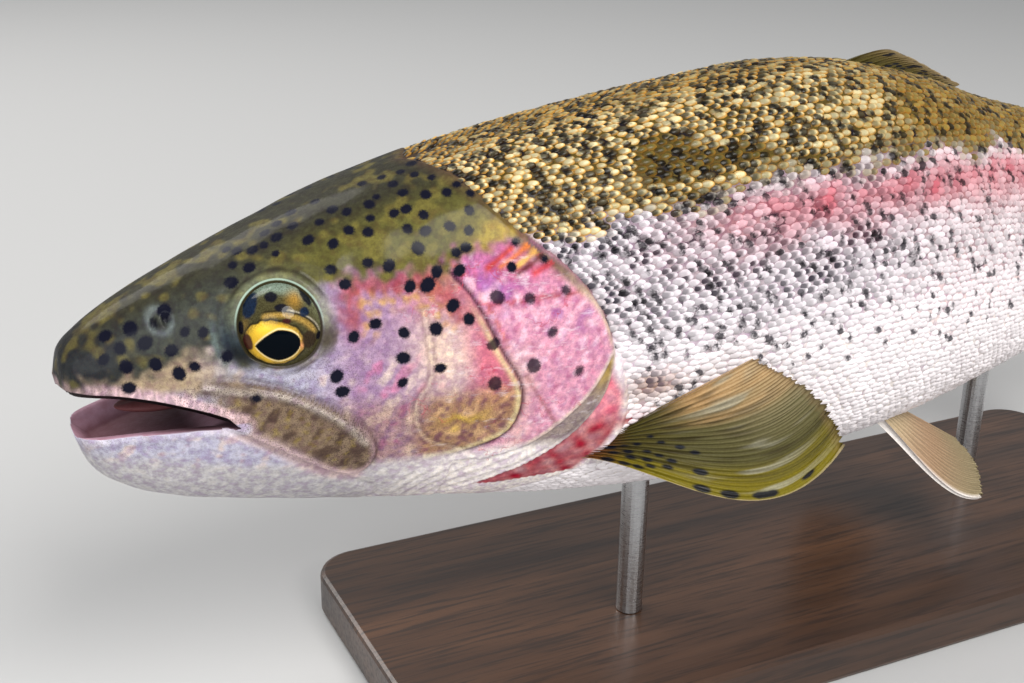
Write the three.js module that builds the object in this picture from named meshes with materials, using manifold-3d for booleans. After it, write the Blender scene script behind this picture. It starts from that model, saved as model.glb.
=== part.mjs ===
// A life-size rainbow trout, held level by two rods over a flat display base.
// Millimetres, +Z up. The snout points along -X, so the fish's left side faces -Y.
// The origin is the middle of the base's underside.
//
// The fish is drawn straight, in its own axes (s, y, z): s is the distance behind the snout along the
// backbone, y is sideways with the left side negative, and z is the height over the backbone's level.
// The solids are cut and joined there, and the last step bends them along the curve of the backbone.
import * as THREE from 'three';
import { mergeVertices } from 'three/addons/utils/BufferGeometryUtils.js';
import Module from 'manifold-3d';

const wasm = await Module();
wasm.setup();

// ---------------------------------------------------------------- driving dimensions
const BODY_LENGTH = 480;        // snout to the end of the tail's flesh
const GAP = 0.3;                // clearance between neighbouring solids
const SLIVER = 0.03;            // cuts leave no detail finer than this
const RING_SIDES = 32;          // corners round the body
const HALF_SPAN = 80;           // half the depth of a cutting prism, wider than the fish

// Side outline, half width, and the backbone's turn in plan and sag, each against the distance behind the snout.
const BACK = [[0, -1], [2, 5], [6, 9], [12, 13], [25, 19.5], [45, 28], [65, 35.5], [90, 42.5], [126, 49.5],
  [170, 55], [200, 57], [222, 56.5], [250, 53], [290, 45], [350, 35], [400, 27.5], [435, 24], [458, 23.5],
  [BODY_LENGTH, 26]];
const BELLY = [[0, -1], [2, -12], [6, -25], [12, -31], [25, -37], [45, -42], [65, -46], [90, -50], [126, -56],
  [170, -60.5], [212, -62.5], [250, -61], [300, -54], [350, -43], [400, -31], [435, -25.5], [458, -24.5],
  [BODY_LENGTH, -26.5]];
const HALF_WIDTH = [[0, 0], [2, 7], [6, 10], [12, 12.5], [25, 17], [45, 22.5], [65, 27], [90, 31], [126, 34.5],
  [170, 37], [212, 37.5], [250, 35.5], [300, 29], [360, 20.5], [410, 13.5], [445, 9.5], [BODY_LENGTH, 4]];
const HEADING = [[0, 0], [110, 0], [190, 7], [260, 12], [330, 8], [405, -4], [BODY_LENGTH, -12]];
const SAG = [[0, 0], [190, 0], [250, -3], [300, -8], [360, -13], [420, -16], [BODY_LENGTH, -17]];
const UPPER_FULLNESS = 2.3;     // 2 is an ellipse, more is squarer
const LOWER_FULLNESS = [[0, 2.2], [60, 1.95], [126, 2.1], [200, 2.3], [BODY_LENGTH, 2.3]];
const WIDEST_LEVEL = 0.05;      // how far over mid height the section is widest, as a share of its height

// Head
const EYE = { s: 50, y: 15.8, z: 9.3, radius: 11.3 };
const UPPER_LIP = lip({ start: -5, level: -4.6, bendsAt: 6, back: 38, drop: 8.4 });
const LOWER_LIP = [[38, -13.5], [30, -13.2], [20, -13.7], [10, -14.7], [5, -15.3], [-5, -17]];
const JAW_BACK = [[39, -14], [52, -26], [66, -34], [74, -41], [70, -50]];
const MAXILLA = [[24, -4], [35, 1], [52, -4], [66, -14], [70, -26], [64, -31], [50, -23], [36, -13]];
const MAXILLA_PROUD = 1.2;      // how far the upper jaw's plate stands out of the cheek
const MAXILLA_DEPTH = 2.5;
const CHEEK_EDGE = bow({ rear: 106, level: -14, top: 24, topSweep: 20, bottom: -36, bottomSweep: 10, power: 1.6 });
const GILL_EDGE = bow({ rear: 129, level: -7, top: 28, topSweep: 23, bottom: -43, bottomSweep: 33, power: 2.2 });
const GILL_COVER_PROUD = 1.4;   // at its free edge; it is flush at the cheek
const GILL_COVER_DEPTH = 3;
const NAPE = 104;               // where the head ends along the back
const THROAT = 92;              // where the head ends along the belly

// Trunk parts
const DORSAL_PART = 214;
const TAIL_STALK = 402;

// Stand
const AXIS_HEIGHT = 121;        // backbone level over the table
const BASE = { length: 300, width: 110, height: 14, corner: 12, bevel: 1.5 };
const BASE_S = 230;             // the point of the backbone over the middle of the base
const BASE_SIDE = 14;           // the bent body's mean sideways offset
const ROD_RADIUS = 4;
const ROD_S = { front: 160, rear: 318 };
const ROD_SOCKET = 6;           // how far a rod goes up past the belly's lowest line before it is trimmed

// ---------------------------------------------------------------- curves
// An edge in the side view, from top to bottom. It lies furthest back at its level and sweeps forwards
// above and below it; a higher power keeps it upright for longer.
function bow({ rear, level, top, topSweep, bottom, bottomSweep, power }) {
  const shares = [0.25, 0.5, 0.75, 1];
  const upper = shares.map((t) => [rear - topSweep * t ** power, level + (top - level) * t]).reverse();
  const lower = shares.map((t) => [rear - bottomSweep * t ** power, level + (bottom - level) * t]);
  return [...upper, [rear, level], ...lower];
}

// The upper lip's line, from in front of the snout to the mouth's corner: level, then dropping ever faster.
function lip({ start, level, bendsAt, back, drop }) {
  const bend = (s) => level - drop * (Math.max(s - bendsAt, 0) / (back - bendsAt)) ** 1.8;
  return [0, 0.2, 0.35, 0.5, 0.75, 1].map((t) => start + t * (back - start)).map((s) => [s, bend(s)]);
}

// A smooth curve through (x, value) points that never overshoots them.
function curve(points) {
  const n = points.length;
  const run = [];
  const slope = [];
  for (let i = 0; i < n - 1; i++) {
    run.push(points[i + 1][0] - points[i][0]);
    slope.push((points[i + 1][1] - points[i][1]) / run[i]);
  }
  const tangent = [slope[0]];
  for (let i = 1; i < n - 1; i++) {
    const before = 2 * run[i] + run[i - 1];
    const after = run[i] + 2 * run[i - 1];
    tangent.push(slope[i - 1] * slope[i] <= 0 ? 0
      : (before + after) / (before / slope[i - 1] + after / slope[i]));
  }
  tangent.push(slope[n - 2]);
  return (x) => {
    let k = 0;
    while (k < n - 2 && x >= points[k + 1][0]) k++;
    const t = THREE.MathUtils.clamp((x - points[k][0]) / run[k], 0, 1);
    const back = (1 - t) ** 2;
    return points[k][1] * (1 + 2 * t) * back + tangent[k] * run[k] * t * back
      + points[k + 1][1] * t * t * (3 - 2 * t) + tangent[k + 1] * run[k] * t * t * (t - 1);
  };
}

const back = curve(BACK);
const belly = curve(BELLY);
const halfWidth = curve(HALF_WIDTH);
const lowerFullness = curve(LOWER_FULLNESS);
const heading = curve(HEADING);
const sag = curve(SAG);
const widest = (s) => (back(s) + belly(s)) / 2 + WIDEST_LEVEL * (back(s) - belly(s));

// The backbone in plan, by adding up short steps along its heading.
const STEP = 1;
const backbone = [[0, 0]];
for (let s = 0; s < BODY_LENGTH + 100; s += STEP) {
  const [x, y] = backbone[backbone.length - 1];
  const turn = THREE.MathUtils.degToRad(heading(s + STEP / 2));
  backbone.push([x + STEP * Math.cos(turn), y + STEP * Math.sin(turn)]);
}

// A point of the straight fish, moved to its place in the bent one.
function bendPoint(s, y, z) {
  const k = THREE.MathUtils.clamp(Math.floor(s / STEP), 0, backbone.length - 2);
  const t = s / STEP - k;
  const [x0, y0] = backbone[k];
  const [x1, y1] = backbone[k + 1];
  const turn = THREE.MathUtils.degToRad(heading(s));
  return [
    x0 + t * (x1 - x0) - y * Math.sin(turn) - BASE_S,
    y0 + t * (y1 - y0) + y * Math.cos(turn) - BASE_SIDE,
    z + sag(s) + AXIS_HEIGHT,
  ];
}

// ---------------------------------------------------------------- solids
function toSolid(geometry) {
  const bare = geometry.clone();
  bare.deleteAttribute('normal');
  bare.deleteAttribute('uv');
  const merged = mergeVertices(bare, 1e-4);
  return new wasm.Manifold(new wasm.Mesh({
    numProp: 3,
    vertProperties: new Float32Array(merged.attributes.position.array),
    triVerts: new Uint32Array(merged.index.array),
  }));
}

function toGeometry(solid) {
  const mesh = solid.getMesh();
  const geometry = new THREE.BufferGeometry();
  geometry.setAttribute('position', new THREE.BufferAttribute(new Float32Array(mesh.vertProperties), 3));
  geometry.setIndex(new THREE.BufferAttribute(new Uint32Array(mesh.triVerts), 1));
  return geometry;
}

function bend(geometry) {
  const position = geometry.attributes.position;
  for (let i = 0; i < position.count; i++) {
    position.setXYZ(i, ...bendPoint(position.getX(i), position.getY(i), position.getZ(i)));
  }
  return geometry;
}

function indexed(points, faces) {
  const geometry = new THREE.BufferGeometry();
  geometry.setAttribute('position', new THREE.Float32BufferAttribute(points.flat(), 3));
  geometry.setIndex(faces.flat());
  return geometry;
}

// One corner of the body's section at s. turn is 0 at the left side and a quarter circle at the back.
function skinPoint(s, turn, grow) {
  const across = Math.cos(turn);
  const up = Math.sin(turn);
  const middle = widest(s);
  const fullness = up > 0 ? UPPER_FULLNESS : lowerFullness(s);
  const scale = (Math.abs(across) ** fullness + Math.abs(up) ** fullness) ** (-1 / fullness);
  const height = up > 0 ? back(s) - middle : middle - belly(s);
  return [s, -(halfWidth(s) + grow) * across * scale, middle + (height + grow) * up * scale];
}

// Stations along the body: close together at the snout, wider apart over the trunk.
const SNOUT_STATIONS = [0.4, 1.5, 3.5, 6.5];
function stations(headStep, trunkStep) {
  const found = [...SNOUT_STATIONS];
  for (let s = 11; s < 130; s += headStep) found.push(s);
  for (let s = 141; s < BODY_LENGTH - trunkStep / 2; s += trunkStep) found.push(s);
  return [...found, BODY_LENGTH];
}
const STATIONS = stations(7.5, 17);
const CORE_STATIONS = stations(15, 60);
const CORE_SIDES = 20;

// The whole body as one closed solid. grow(s) moves its surface out, or in where it is negative.
function bodySolid(grow = () => 0, rings = STATIONS, sides = RING_SIDES) {
  const points = [[-Math.max(0, grow(0)), 0, widest(0)]];
  rings.forEach((s) => {
    for (let k = 0; k < sides; k++) {
      points.push(skinPoint(s, (2 * Math.PI * k) / sides, grow(s)));
    }
  });
  points.push([BODY_LENGTH + Math.max(0, grow(BODY_LENGTH)), 0, 0]);
  const last = points.length - 1;
  const ring = (i, k) => 1 + i * sides + (k % sides);
  const faces = [];
  for (let k = 0; k < sides; k++) {
    faces.push([0, ring(0, k), ring(0, k + 1)]);
    for (let i = 0; i < rings.length - 1; i++) {
      faces.push([ring(i, k), ring(i + 1, k), ring(i + 1, k + 1)]);
      faces.push([ring(i, k), ring(i + 1, k + 1), ring(i, k + 1)]);
    }
    faces.push([ring(rings.length - 1, k), last, ring(rings.length - 1, k + 1)]);
  }
  return toSolid(indexed(points, faces));
}

// A side outline of (s, z) points pushed through the fish from y = low to y = high.
function prism(outline, low = -HALF_SPAN, high = HALF_SPAN) {
  const shape = new THREE.Shape(outline.map(([s, z]) => new THREE.Vector2(s, z)));
  const geometry = new THREE.ExtrudeGeometry(shape, { depth: high - low, bevelEnabled: false });
  return toSolid(geometry.rotateX(Math.PI / 2).translate(0, high, 0));
}

// The same, on the left side only (side 1) or the right side only (side -1).
const sidePrism = (outline, side) => (side > 0 ? prism(outline, -HALF_SPAN, 0) : prism(outline, 0, HALF_SPAN));

// A smooth line through an outline's points, in short chords.
function smoothed(points, chords = 3, closed = false) {
  const knots = points.map(([s, z]) => new THREE.Vector3(s, 0, z));
  const line = new THREE.CatmullRomCurve3(knots, closed, 'centripetal');
  const count = chords * (closed ? knots.length : knots.length - 1);
  const found = line.getPoints(count).map((p) => [p.x, p.z]);
  return closed ? found.slice(0, -1) : found;
}

// An outline moved outwards by a gap, for the pocket that a plate sits in.
function widened(outline, by) {
  const n = outline.length;
  const turning = Math.sign(THREE.ShapeUtils.area(outline.map(([s, z]) => new THREE.Vector2(s, z))));
  return outline.map(([s, z], i) => {
    const [s0, z0] = outline[(i + n - 1) % n];
    const [s1, z1] = outline[(i + 1) % n];
    const length = Math.hypot(s1 - s0, z1 - z0);
    return [s + (turning * by * (z1 - z0)) / length, z - (turning * by * (s1 - s0)) / length];
  });
}

// ---------------------------------------------------------------- fins
// A thin closed blade. root(t) and tip(t) are the ends of the ray at t, from the leading ray at 0 to the
// last one at 1, and bow(t) is how far that ray stands off the straight line between them, most of it
// a little beyond its middle.
function blade({ root, tip, bow = () => [0, 0, 0], rays, steps, rootThick, edgeThick, notch = 0.02 }) {
  const at = (i, j) => {
    const t = i / rays;
    const r = j / steps;
    const reach = r * (1 - notch * (i % 2));
    const a = new THREE.Vector3(...root(t));
    const b = new THREE.Vector3(...tip(t));
    return a.lerp(b, reach).addScaledVector(new THREE.Vector3(...bow(t)), 6.75 * r * r * (1 - r));
  };
  const normal = (i, j) => {
    const along = at(i, Math.min(j + 1, steps)).sub(at(i, Math.max(j - 1, 0)));
    const across = at(Math.min(i + 1, rays), j).sub(at(Math.max(i - 1, 0), j));
    return across.cross(along).normalize();
  };
  const points = [];
  for (const face of [1, -1]) {
    for (let i = 0; i <= rays; i++) {
      for (let j = 0; j <= steps; j++) {
        const thick = THREE.MathUtils.lerp(rootThick, edgeThick, j / steps);
        points.push(at(i, j).addScaledVector(normal(i, j), (face * thick) / 2).toArray());
      }
    }
  }
  const sheet = (rays + 1) * (steps + 1);
  const front = (i, j) => i * (steps + 1) + j;
  const rear = (i, j) => sheet + front(i, j);
  const faces = [];
  const quad = (a, b, c, d) => faces.push([a, b, c], [a, c, d]);
  for (let i = 0; i < rays; i++) {
    for (let j = 0; j < steps; j++) {
      quad(front(i, j), front(i + 1, j), front(i + 1, j + 1), front(i, j + 1));
      quad(rear(i, j), rear(i, j + 1), rear(i + 1, j + 1), rear(i + 1, j));
    }
    quad(front(i, 0), rear(i, 0), rear(i + 1, 0), front(i + 1, 0));
    quad(front(i, steps), front(i + 1, steps), rear(i + 1, steps), rear(i, steps));
  }
  for (let j = 0; j < steps; j++) {
    quad(front(0, j), front(0, j + 1), rear(0, j + 1), rear(0, j));
    quad(front(rays, j), rear(rays, j), rear(rays, j + 1), front(rays, j + 1));
  }
  const made = toSolid(indexed(points, faces));
  return made.volume() > 0 ? made : toSolid(indexed(points, faces.map(([a, b, c]) => [a, c, b])));
}

const mix = THREE.MathUtils.lerp;
const mixPoints = (a, b, t) => a.map((value, i) => mix(value, b[i], t));

// A paired fin. The left one is given, and side -1 mirrors it.
function pairedFin({ rootLead, rootLast, tipLead, tipLast, spread, bowLead }, side, rays) {
  const sided = ([s, y, z]) => [s, side * y, z];
  return blade({
    root: (t) => sided(mixPoints(rootLead, rootLast, t)),
    tip: (t) => {
      const [s, y, z] = mixPoints(tipLead, tipLast, t);
      return sided([s + spread * Math.sin(Math.PI * t), y, z]);
    },
    bow: (t) => sided(bowLead.map((v) => v * (1 - t))),
    rays, steps: 4, rootThick: 3.2, edgeThick: 0.8,
  });
}

const PECTORAL = { rootLead: [124, -24, -36.5], rootLast: [134, -28.5, -29.5], tipLead: [181, -60, -31],
  tipLast: [163, -45, -8], spread: 6, bowLead: [-1, -5, -12] };
const PELVIC = { rootLead: [242, -12, -53], rootLast: [256, -7, -55], tipLead: [279, -35, -84],
  tipLast: [293, -13, -73], spread: 5, bowLead: [-3, -2, -4] };

// How much of its length a ray keeps towards the leading corner (t = 0) and the last one (t = 1).
const rounded = (t) => 1 - 0.16 * (1 - t) ** 8 - 0.12 * t ** 8;
const FIN_ROOT = 3;             // how far a fin's root starts inside the body before it is trimmed

// The dorsal fin lies folded back along the fish, a low crest that leans to the right.
const DORSAL = { s0: 218, s1: 276, lengths: [50, 14], heights: [4, 1.5], lean: 4, rays: 11 };
function dorsalFin() {
  const { s0, s1, lengths, heights, lean, rays } = DORSAL;
  return blade({
    root: (t) => [mix(s0, s1, t), 0, back(mix(s0, s1, t)) - FIN_ROOT],
    tip: (t) => {
      const s = mix(s0, s1, t) + mix(lengths[0], lengths[1], t ** 0.8) * rounded(t);
      return [s, lean * (1 - 0.5 * t), back(s) + mix(heights[0], heights[1], t)];
    },
    bow: (t) => [0, 0, 2.8 * (1 - t)],
    rays, steps: 4, rootThick: 3.5, edgeThick: 0.8,
  });
}

// A fin on the middle line: its rays leave the body from s0 to s1 at the given angles and lengths.
function middleFin({ s0, s1, level, angles, lengths, rays, rootThick, wave }) {
  const root = (t) => [mix(s0, s1, t), 0, level(mix(s0, s1, t))];
  return blade({
    root,
    tip: (t) => {
      const [s, , z] = root(t);
      const angle = THREE.MathUtils.degToRad(mix(angles[0], angles[1], t));
      const length = mix(lengths[0], lengths[1], t ** 0.8) * rounded(t);
      return [s + length * Math.cos(angle), wave * Math.sin(Math.PI * t), z + length * Math.sin(angle)];
    },
    rays, steps: 4, rootThick, edgeThick: 0.8,
  });
}

const ADIPOSE = { s0: 385, s1: 397, level: (s) => back(s) - FIN_ROOT, angles: [36, 20], lengths: [24, 13],
  rays: 4, rootThick: 3.2, wave: 0 };
const ANAL = { s0: 350, s1: 394, level: (s) => belly(s) + FIN_ROOT, angles: [-50, -30], lengths: [57, 26],
  rays: 11, rootThick: 3.5, wave: 3 };

// The tail fin spreads from the end of the flesh, with a shallow fork.
const TAIL = { root: 468, halfRoot: 23, halfSpread: 61, middle: 538, fork: 20, corner: 6, rays: 18, wave: -6 };
function tailFin() {
  const across = (t) => 1 - 2 * t;
  return blade({
    root: (t) => [TAIL.root, 0, TAIL.halfRoot * across(t)],
    tip: (t) => [
      TAIL.middle + TAIL.fork * Math.abs(across(t)) ** 1.5 - TAIL.corner * Math.abs(across(t)) ** 14,
      TAIL.wave * (0.3 + 0.7 * across(t) ** 2),
      TAIL.halfSpread * across(t),
    ],
    bow: (t) => [0, 0, 3 * across(t)],
    rays: TAIL.rays, steps: 5, rootThick: 5, edgeThick: 0.9,
  });
}

// ---------------------------------------------------------------- the fish, straight
const body = bodySolid();
const clearBody = bodySolid(() => GAP);

const gillLine = smoothed([[NAPE, 30], ...GILL_EDGE, [THROAT, -46]], 2);
const headSide = [[-20, 80], [NAPE - 4, 80], ...gillLine, [THROAT - 4, -80], [-20, -80]];
const headBlock = body.intersect(prism(headSide));
let trunk = body.subtract(prism(headSide.map(([s, z]) => [s + GAP, z])));

const mouth = prism([...UPPER_LIP, ...LOWER_LIP]);
const jawLine = smoothed(JAW_BACK, 2);
const jawSide = [...LOWER_LIP.slice(1).reverse(), [38, -14], ...jawLine, [66, -80], [-20, -80]];
const jawCut = smoothed(JAW_BACK.map(([s, z]) => [s + GAP, z + GAP]), 2);
const jawPocket = [[-20, -12], [12, -12], [38, -13.2], ...jawCut, [66 + GAP, -80], [-20, -80]];

const eyeBall = (side, grow = 0) => toSolid(
  new THREE.SphereGeometry(EYE.radius + grow, 16, 10).rotateX(Math.PI / 2)
    .translate(EYE.s, -side * EYE.y, EYE.z),
);

const maxillaOutline = smoothed(MAXILLA, 2, true);
const gillCoverOutline = [...smoothed(CHEEK_EDGE, 2).reverse(), ...smoothed([[96, 28.5], ...GILL_EDGE], 2)];
const swell = (s) => GILL_COVER_PROUD * THREE.MathUtils.smoothstep(s, 88, 122);
const plateCore = (depth) => bodySolid(() => -depth, CORE_STATIONS, CORE_SIDES);

const maxillaSkin = bodySolid(() => MAXILLA_PROUD);
const coverSkin = bodySolid(swell);
const maxilla = (side) => maxillaSkin.intersect(sidePrism(maxillaOutline, side))
  .subtract(plateCore(MAXILLA_DEPTH)).subtract(eyeBall(side, GAP));
const gillCover = (side) => coverSkin.intersect(sidePrism(gillCoverOutline, side))
  .subtract(plateCore(GILL_COVER_DEPTH));

let head = headBlock.subtract(mouth).subtract(prism(jawPocket));
let jaw = body.intersect(prism(jawSide));
for (const side of [1, -1]) {
  const maxillaPocket = sidePrism(widened(maxillaOutline, GAP), side).subtract(plateCore(MAXILLA_DEPTH + GAP));
  const coverPocket = sidePrism(widened(gillCoverOutline, GAP), side).subtract(plateCore(GILL_COVER_DEPTH + GAP));
  head = head.subtract(eyeBall(side, GAP)).subtract(maxillaPocket).subtract(coverPocket);
  jaw = jaw.subtract(maxillaPocket);
  trunk = trunk.subtract(coverPocket);
}

// A slab of the body between two distances behind the snout.
const slab = (from, to) => prism([[from, -120], [to, -120], [to, 120], [from, 120]]);

// The tongue lies on the floor of the mouth, clear of the lips' lines by the gap.
const tongueRoom = [...UPPER_LIP.slice(0, -1).map(([s, z]) => [s, z - GAP]), [33, -11.2], [33, -13],
  ...LOWER_LIP.slice(1).map(([s, z]) => [s, z + GAP])];
const tongue = toSolid(new THREE.SphereGeometry(1, 14, 8).scale(12, 5.5, 2.4).translate(24, 0, -11.8))
  .intersect(prism(tongueRoom));

// ---------------------------------------------------------------- the group
const group = new THREE.Group();

function add(name, solid, colour, roughness, { straight = true, metalness = 0 } = {}) {
  const geometry = straight ? bend(toGeometry(solid.simplify(SLIVER))) : toGeometry(solid);
  geometry.computeVertexNormals();
  const mesh = new THREE.Mesh(geometry, new THREE.MeshStandardMaterial({ color: colour, roughness, metalness }));
  mesh.name = name;
  group.add(mesh);
}

const OLIVE = 0x7c7a4a;
const SILVER = 0xc9bcb8;
const PINK = 0xc77f8d;
const FIN = 0x8f8558;

add('head', head, OLIVE, 0.35);
add('lower_jaw', jaw, 0xcfc8bb, 0.35);
add('tongue', tongue, 0xb99a92, 0.4);
add('trunk_front', trunk.intersect(slab(-20, DORSAL_PART)), SILVER, 0.35);
add('trunk_rear', trunk.intersect(slab(DORSAL_PART + GAP, TAIL_STALK)), SILVER, 0.35);
add('tail_stalk', trunk.intersect(slab(TAIL_STALK + GAP, BODY_LENGTH + 20)), SILVER, 0.35);
for (const [name, side] of [['left', 1], ['right', -1]]) {
  add(`eye_${name}`, eyeBall(side), 0x14120e, 0.05);
  add(`maxilla_${name}`, maxilla(side), 0x9a8a5e, 0.35);
  add(`gill_cover_${name}`, gillCover(side), PINK, 0.3);
  add(`pectoral_fin_${name}`, pairedFin(PECTORAL, side, 12).subtract(clearBody)
    .subtract(bodySolid((s) => swell(s) + GAP)), FIN, 0.45);
  add(`pelvic_fin_${name}`, pairedFin(PELVIC, side, 9).subtract(clearBody), FIN, 0.45);
}
add('dorsal_fin', dorsalFin().subtract(clearBody), FIN, 0.45);
add('adipose_fin', middleFin(ADIPOSE).subtract(clearBody), OLIVE, 0.45);
add('anal_fin', middleFin(ANAL).subtract(clearBody), FIN, 0.45);
add('tail_fin', tailFin().subtract(clearBody), FIN, 0.45);

// ---------------------------------------------------------------- the stand
function baseGeometry() {
  const { length, width, height, corner, bevel } = BASE;
  const [x, y] = [length / 2 - bevel, width / 2 - bevel];
  const shape = new THREE.Shape();
  shape.moveTo(-x + corner, -y);
  shape.lineTo(x - corner, -y);
  shape.absarc(x - corner, -y + corner, corner, -Math.PI / 2, 0);
  shape.absarc(x - corner, y - corner, corner, 0, Math.PI / 2);
  shape.absarc(-x + corner, y - corner, corner, Math.PI / 2, Math.PI);
  shape.absarc(-x + corner, -y + corner, corner, Math.PI, 1.5 * Math.PI);
  return new THREE.ExtrudeGeometry(shape, {
    depth: height - 2 * bevel, bevelThickness: bevel, bevelSize: bevel, bevelSegments: 2, curveSegments: 5,
  }).translate(0, 0, bevel);
}

function rod(s) {
  const [x, y] = bendPoint(s, 0, 0);
  const top = AXIS_HEIGHT + sag(s) + belly(s) + ROD_SOCKET;
  const bottom = BASE.height + GAP;
  const geometry = new THREE.CylinderGeometry(ROD_RADIUS, ROD_RADIUS, top - bottom, 24)
    .rotateX(Math.PI / 2).translate(x, y, (top + bottom) / 2);
  return toSolid(geometry).subtract(toSolid(bend(toGeometry(clearBody))));
}

add('stand_base', toSolid(baseGeometry()), 0x4a3628, 0.5, { straight: false });
add('stand_rod_front', rod(ROD_S.front), 0x9a9c9e, 0.3, { straight: false, metalness: 1 });
add('stand_rod_rear', rod(ROD_S.rear), 0x9a9c9e, 0.3, { straight: false, metalness: 1 });

export default group;
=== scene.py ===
import math

import bpy
import numpy as np
from mathutils import Matrix, Vector


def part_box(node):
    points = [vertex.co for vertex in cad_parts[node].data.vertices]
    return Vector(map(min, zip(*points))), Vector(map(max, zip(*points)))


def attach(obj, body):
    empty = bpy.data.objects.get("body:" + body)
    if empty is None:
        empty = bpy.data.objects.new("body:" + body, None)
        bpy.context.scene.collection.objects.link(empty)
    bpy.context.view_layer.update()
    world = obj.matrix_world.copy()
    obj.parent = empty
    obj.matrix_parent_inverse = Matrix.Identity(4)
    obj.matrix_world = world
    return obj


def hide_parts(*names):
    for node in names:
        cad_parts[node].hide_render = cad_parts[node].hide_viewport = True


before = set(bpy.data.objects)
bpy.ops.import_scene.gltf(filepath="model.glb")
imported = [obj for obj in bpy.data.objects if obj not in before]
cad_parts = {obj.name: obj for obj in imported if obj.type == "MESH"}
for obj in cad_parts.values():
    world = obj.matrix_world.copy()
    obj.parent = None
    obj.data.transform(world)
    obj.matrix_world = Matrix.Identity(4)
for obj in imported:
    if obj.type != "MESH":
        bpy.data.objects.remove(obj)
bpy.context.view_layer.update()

MM = 0.001

# ------------------------------------------------------------------ the body's driving dimensions, in mm
BODY_LENGTH = 480.0
BACK = [(0, -1), (2, 5), (6, 9), (12, 13), (25, 19.5), (45, 28), (65, 35.5), (90, 42.5), (126, 49.5),
        (170, 55), (200, 57), (222, 56.5), (250, 53), (290, 45), (350, 35), (400, 27.5), (435, 24),
        (458, 23.5), (BODY_LENGTH, 26)]
BELLY = [(0, -1), (2, -12), (6, -25), (12, -31), (25, -37), (45, -42), (65, -46), (90, -50), (126, -56),
         (170, -60.5), (212, -62.5), (250, -61), (300, -54), (350, -43), (400, -31), (435, -25.5),
         (458, -24.5), (BODY_LENGTH, -26.5)]
HALF_WIDTH = [(0, 0), (2, 7), (6, 10), (12, 12.5), (25, 17), (45, 22.5), (65, 27), (90, 31), (126, 34.5),
              (170, 37), (212, 37.5), (250, 35.5), (300, 29), (360, 20.5), (410, 13.5), (445, 9.5),
              (BODY_LENGTH, 4)]
HEADING = [(0, 0), (110, 0), (190, 7), (260, 12), (330, 8), (405, -4), (BODY_LENGTH, -12)]
SAG = [(0, 0), (190, 0), (250, -3), (300, -8), (360, -13), (420, -16), (BODY_LENGTH, -17)]
UPPER_FULLNESS = 2.3
LOWER_FULLNESS = [(0, 2.2), (60, 1.95), (126, 2.1), (200, 2.3), (BODY_LENGTH, 2.3)]
WIDEST_LEVEL = 0.05


def bow(rear, level, top, top_sweep, bottom, bottom_sweep, power):
    """An edge in the side view, furthest back at its level and sweeping forwards above and below it."""
    shares = (0.25, 0.5, 0.75, 1)
    upper = [(rear - top_sweep * t ** power, level + (top - level) * t) for t in reversed(shares)]
    lower = [(rear - bottom_sweep * t ** power, level + (bottom - level) * t) for t in shares]
    return [*upper, (rear, level), *lower]


def lip(start, level, bends_at, back, drop):
    """The upper lip's line, from in front of the snout to the mouth's corner, dropping ever faster."""
    stations = [start + t * (back - start) for t in (0, 0.2, 0.35, 0.5, 0.75, 1)]
    return [(s, level - drop * (max(s - bends_at, 0) / (back - bends_at)) ** 1.8) for s in stations]


EYE_LEVEL = 9.3                 # the eyes' height over the backbone
MOUTH_FRONT = -5                # the lips' lines run from in front of the snout to the mouth's corner
MOUTH_CORNER = 38
UPPER_LIP = lip(start=MOUTH_FRONT, level=-4.6, bends_at=6, back=MOUTH_CORNER, drop=8.4)
LOWER_LIP = [(MOUTH_FRONT, -17), (5, -15.3), (10, -14.7), (20, -13.7), (30, -13.2), (MOUTH_CORNER, -13.5)]
JAW_BACK = [(39, -14), (52, -26), (66, -34), (74, -41), (70, -50)]
MAXILLA = [(24, -5), (35, -1), (52, -6), (66, -16), (70, -26), (64, -31), (50, -23), (36, -13.5)]
MAXILLA_LIP = [(27, -9.5), (44, -18.5), (58, -29), (66, -31.5)]
SUPRAMAXILLA = [(31, -2.6), (48, -6), (61, -14), (67, -21)]
GILL_EDGE = bow(rear=129, level=-7, top=28, top_sweep=23, bottom=-43, bottom_sweep=33, power=2.2)
BONE_EDGE = [(128.5, -3), (122, -15), (109, -27), (97, -31)]
GIRDLE_EDGE = [(128, 2), (130, -8), (134, -18), (133, -30), (126, -40)]
PREOPERCLE = [(84, 24), (92, 15), (99, 1), (105, -11), (103, -22), (94, -27), (86, -29)]
CHEEK_LINE = [(81, 12), (82.5, -4), (79, -12), (82, -22), (92, -27)]
SUBOPERCLE = [(106, -7), (115, -22)]
NAPE = 104
THROAT = 92
NOSTRIL = (22, 12)
NOSTRILS = (NOSTRIL, (NOSTRIL[0] + 2.6, NOSTRIL[1] + 0.9))
RIDGE_REACH = 4                 # the preopercle's relief and tones stay so near to its line
COVER_PROUD = 1.4               # how far the gill cover's free edge stands out
MAXILLA_PROUD = 1.2

SKIN_DEPTH = 0.15               # how far the head's skin lies inside the solids
COAT_DEPTH = 0.75               # the same under the scales
FAR = 9.0                       # the distance told where no spot, mark or eye is near


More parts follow.
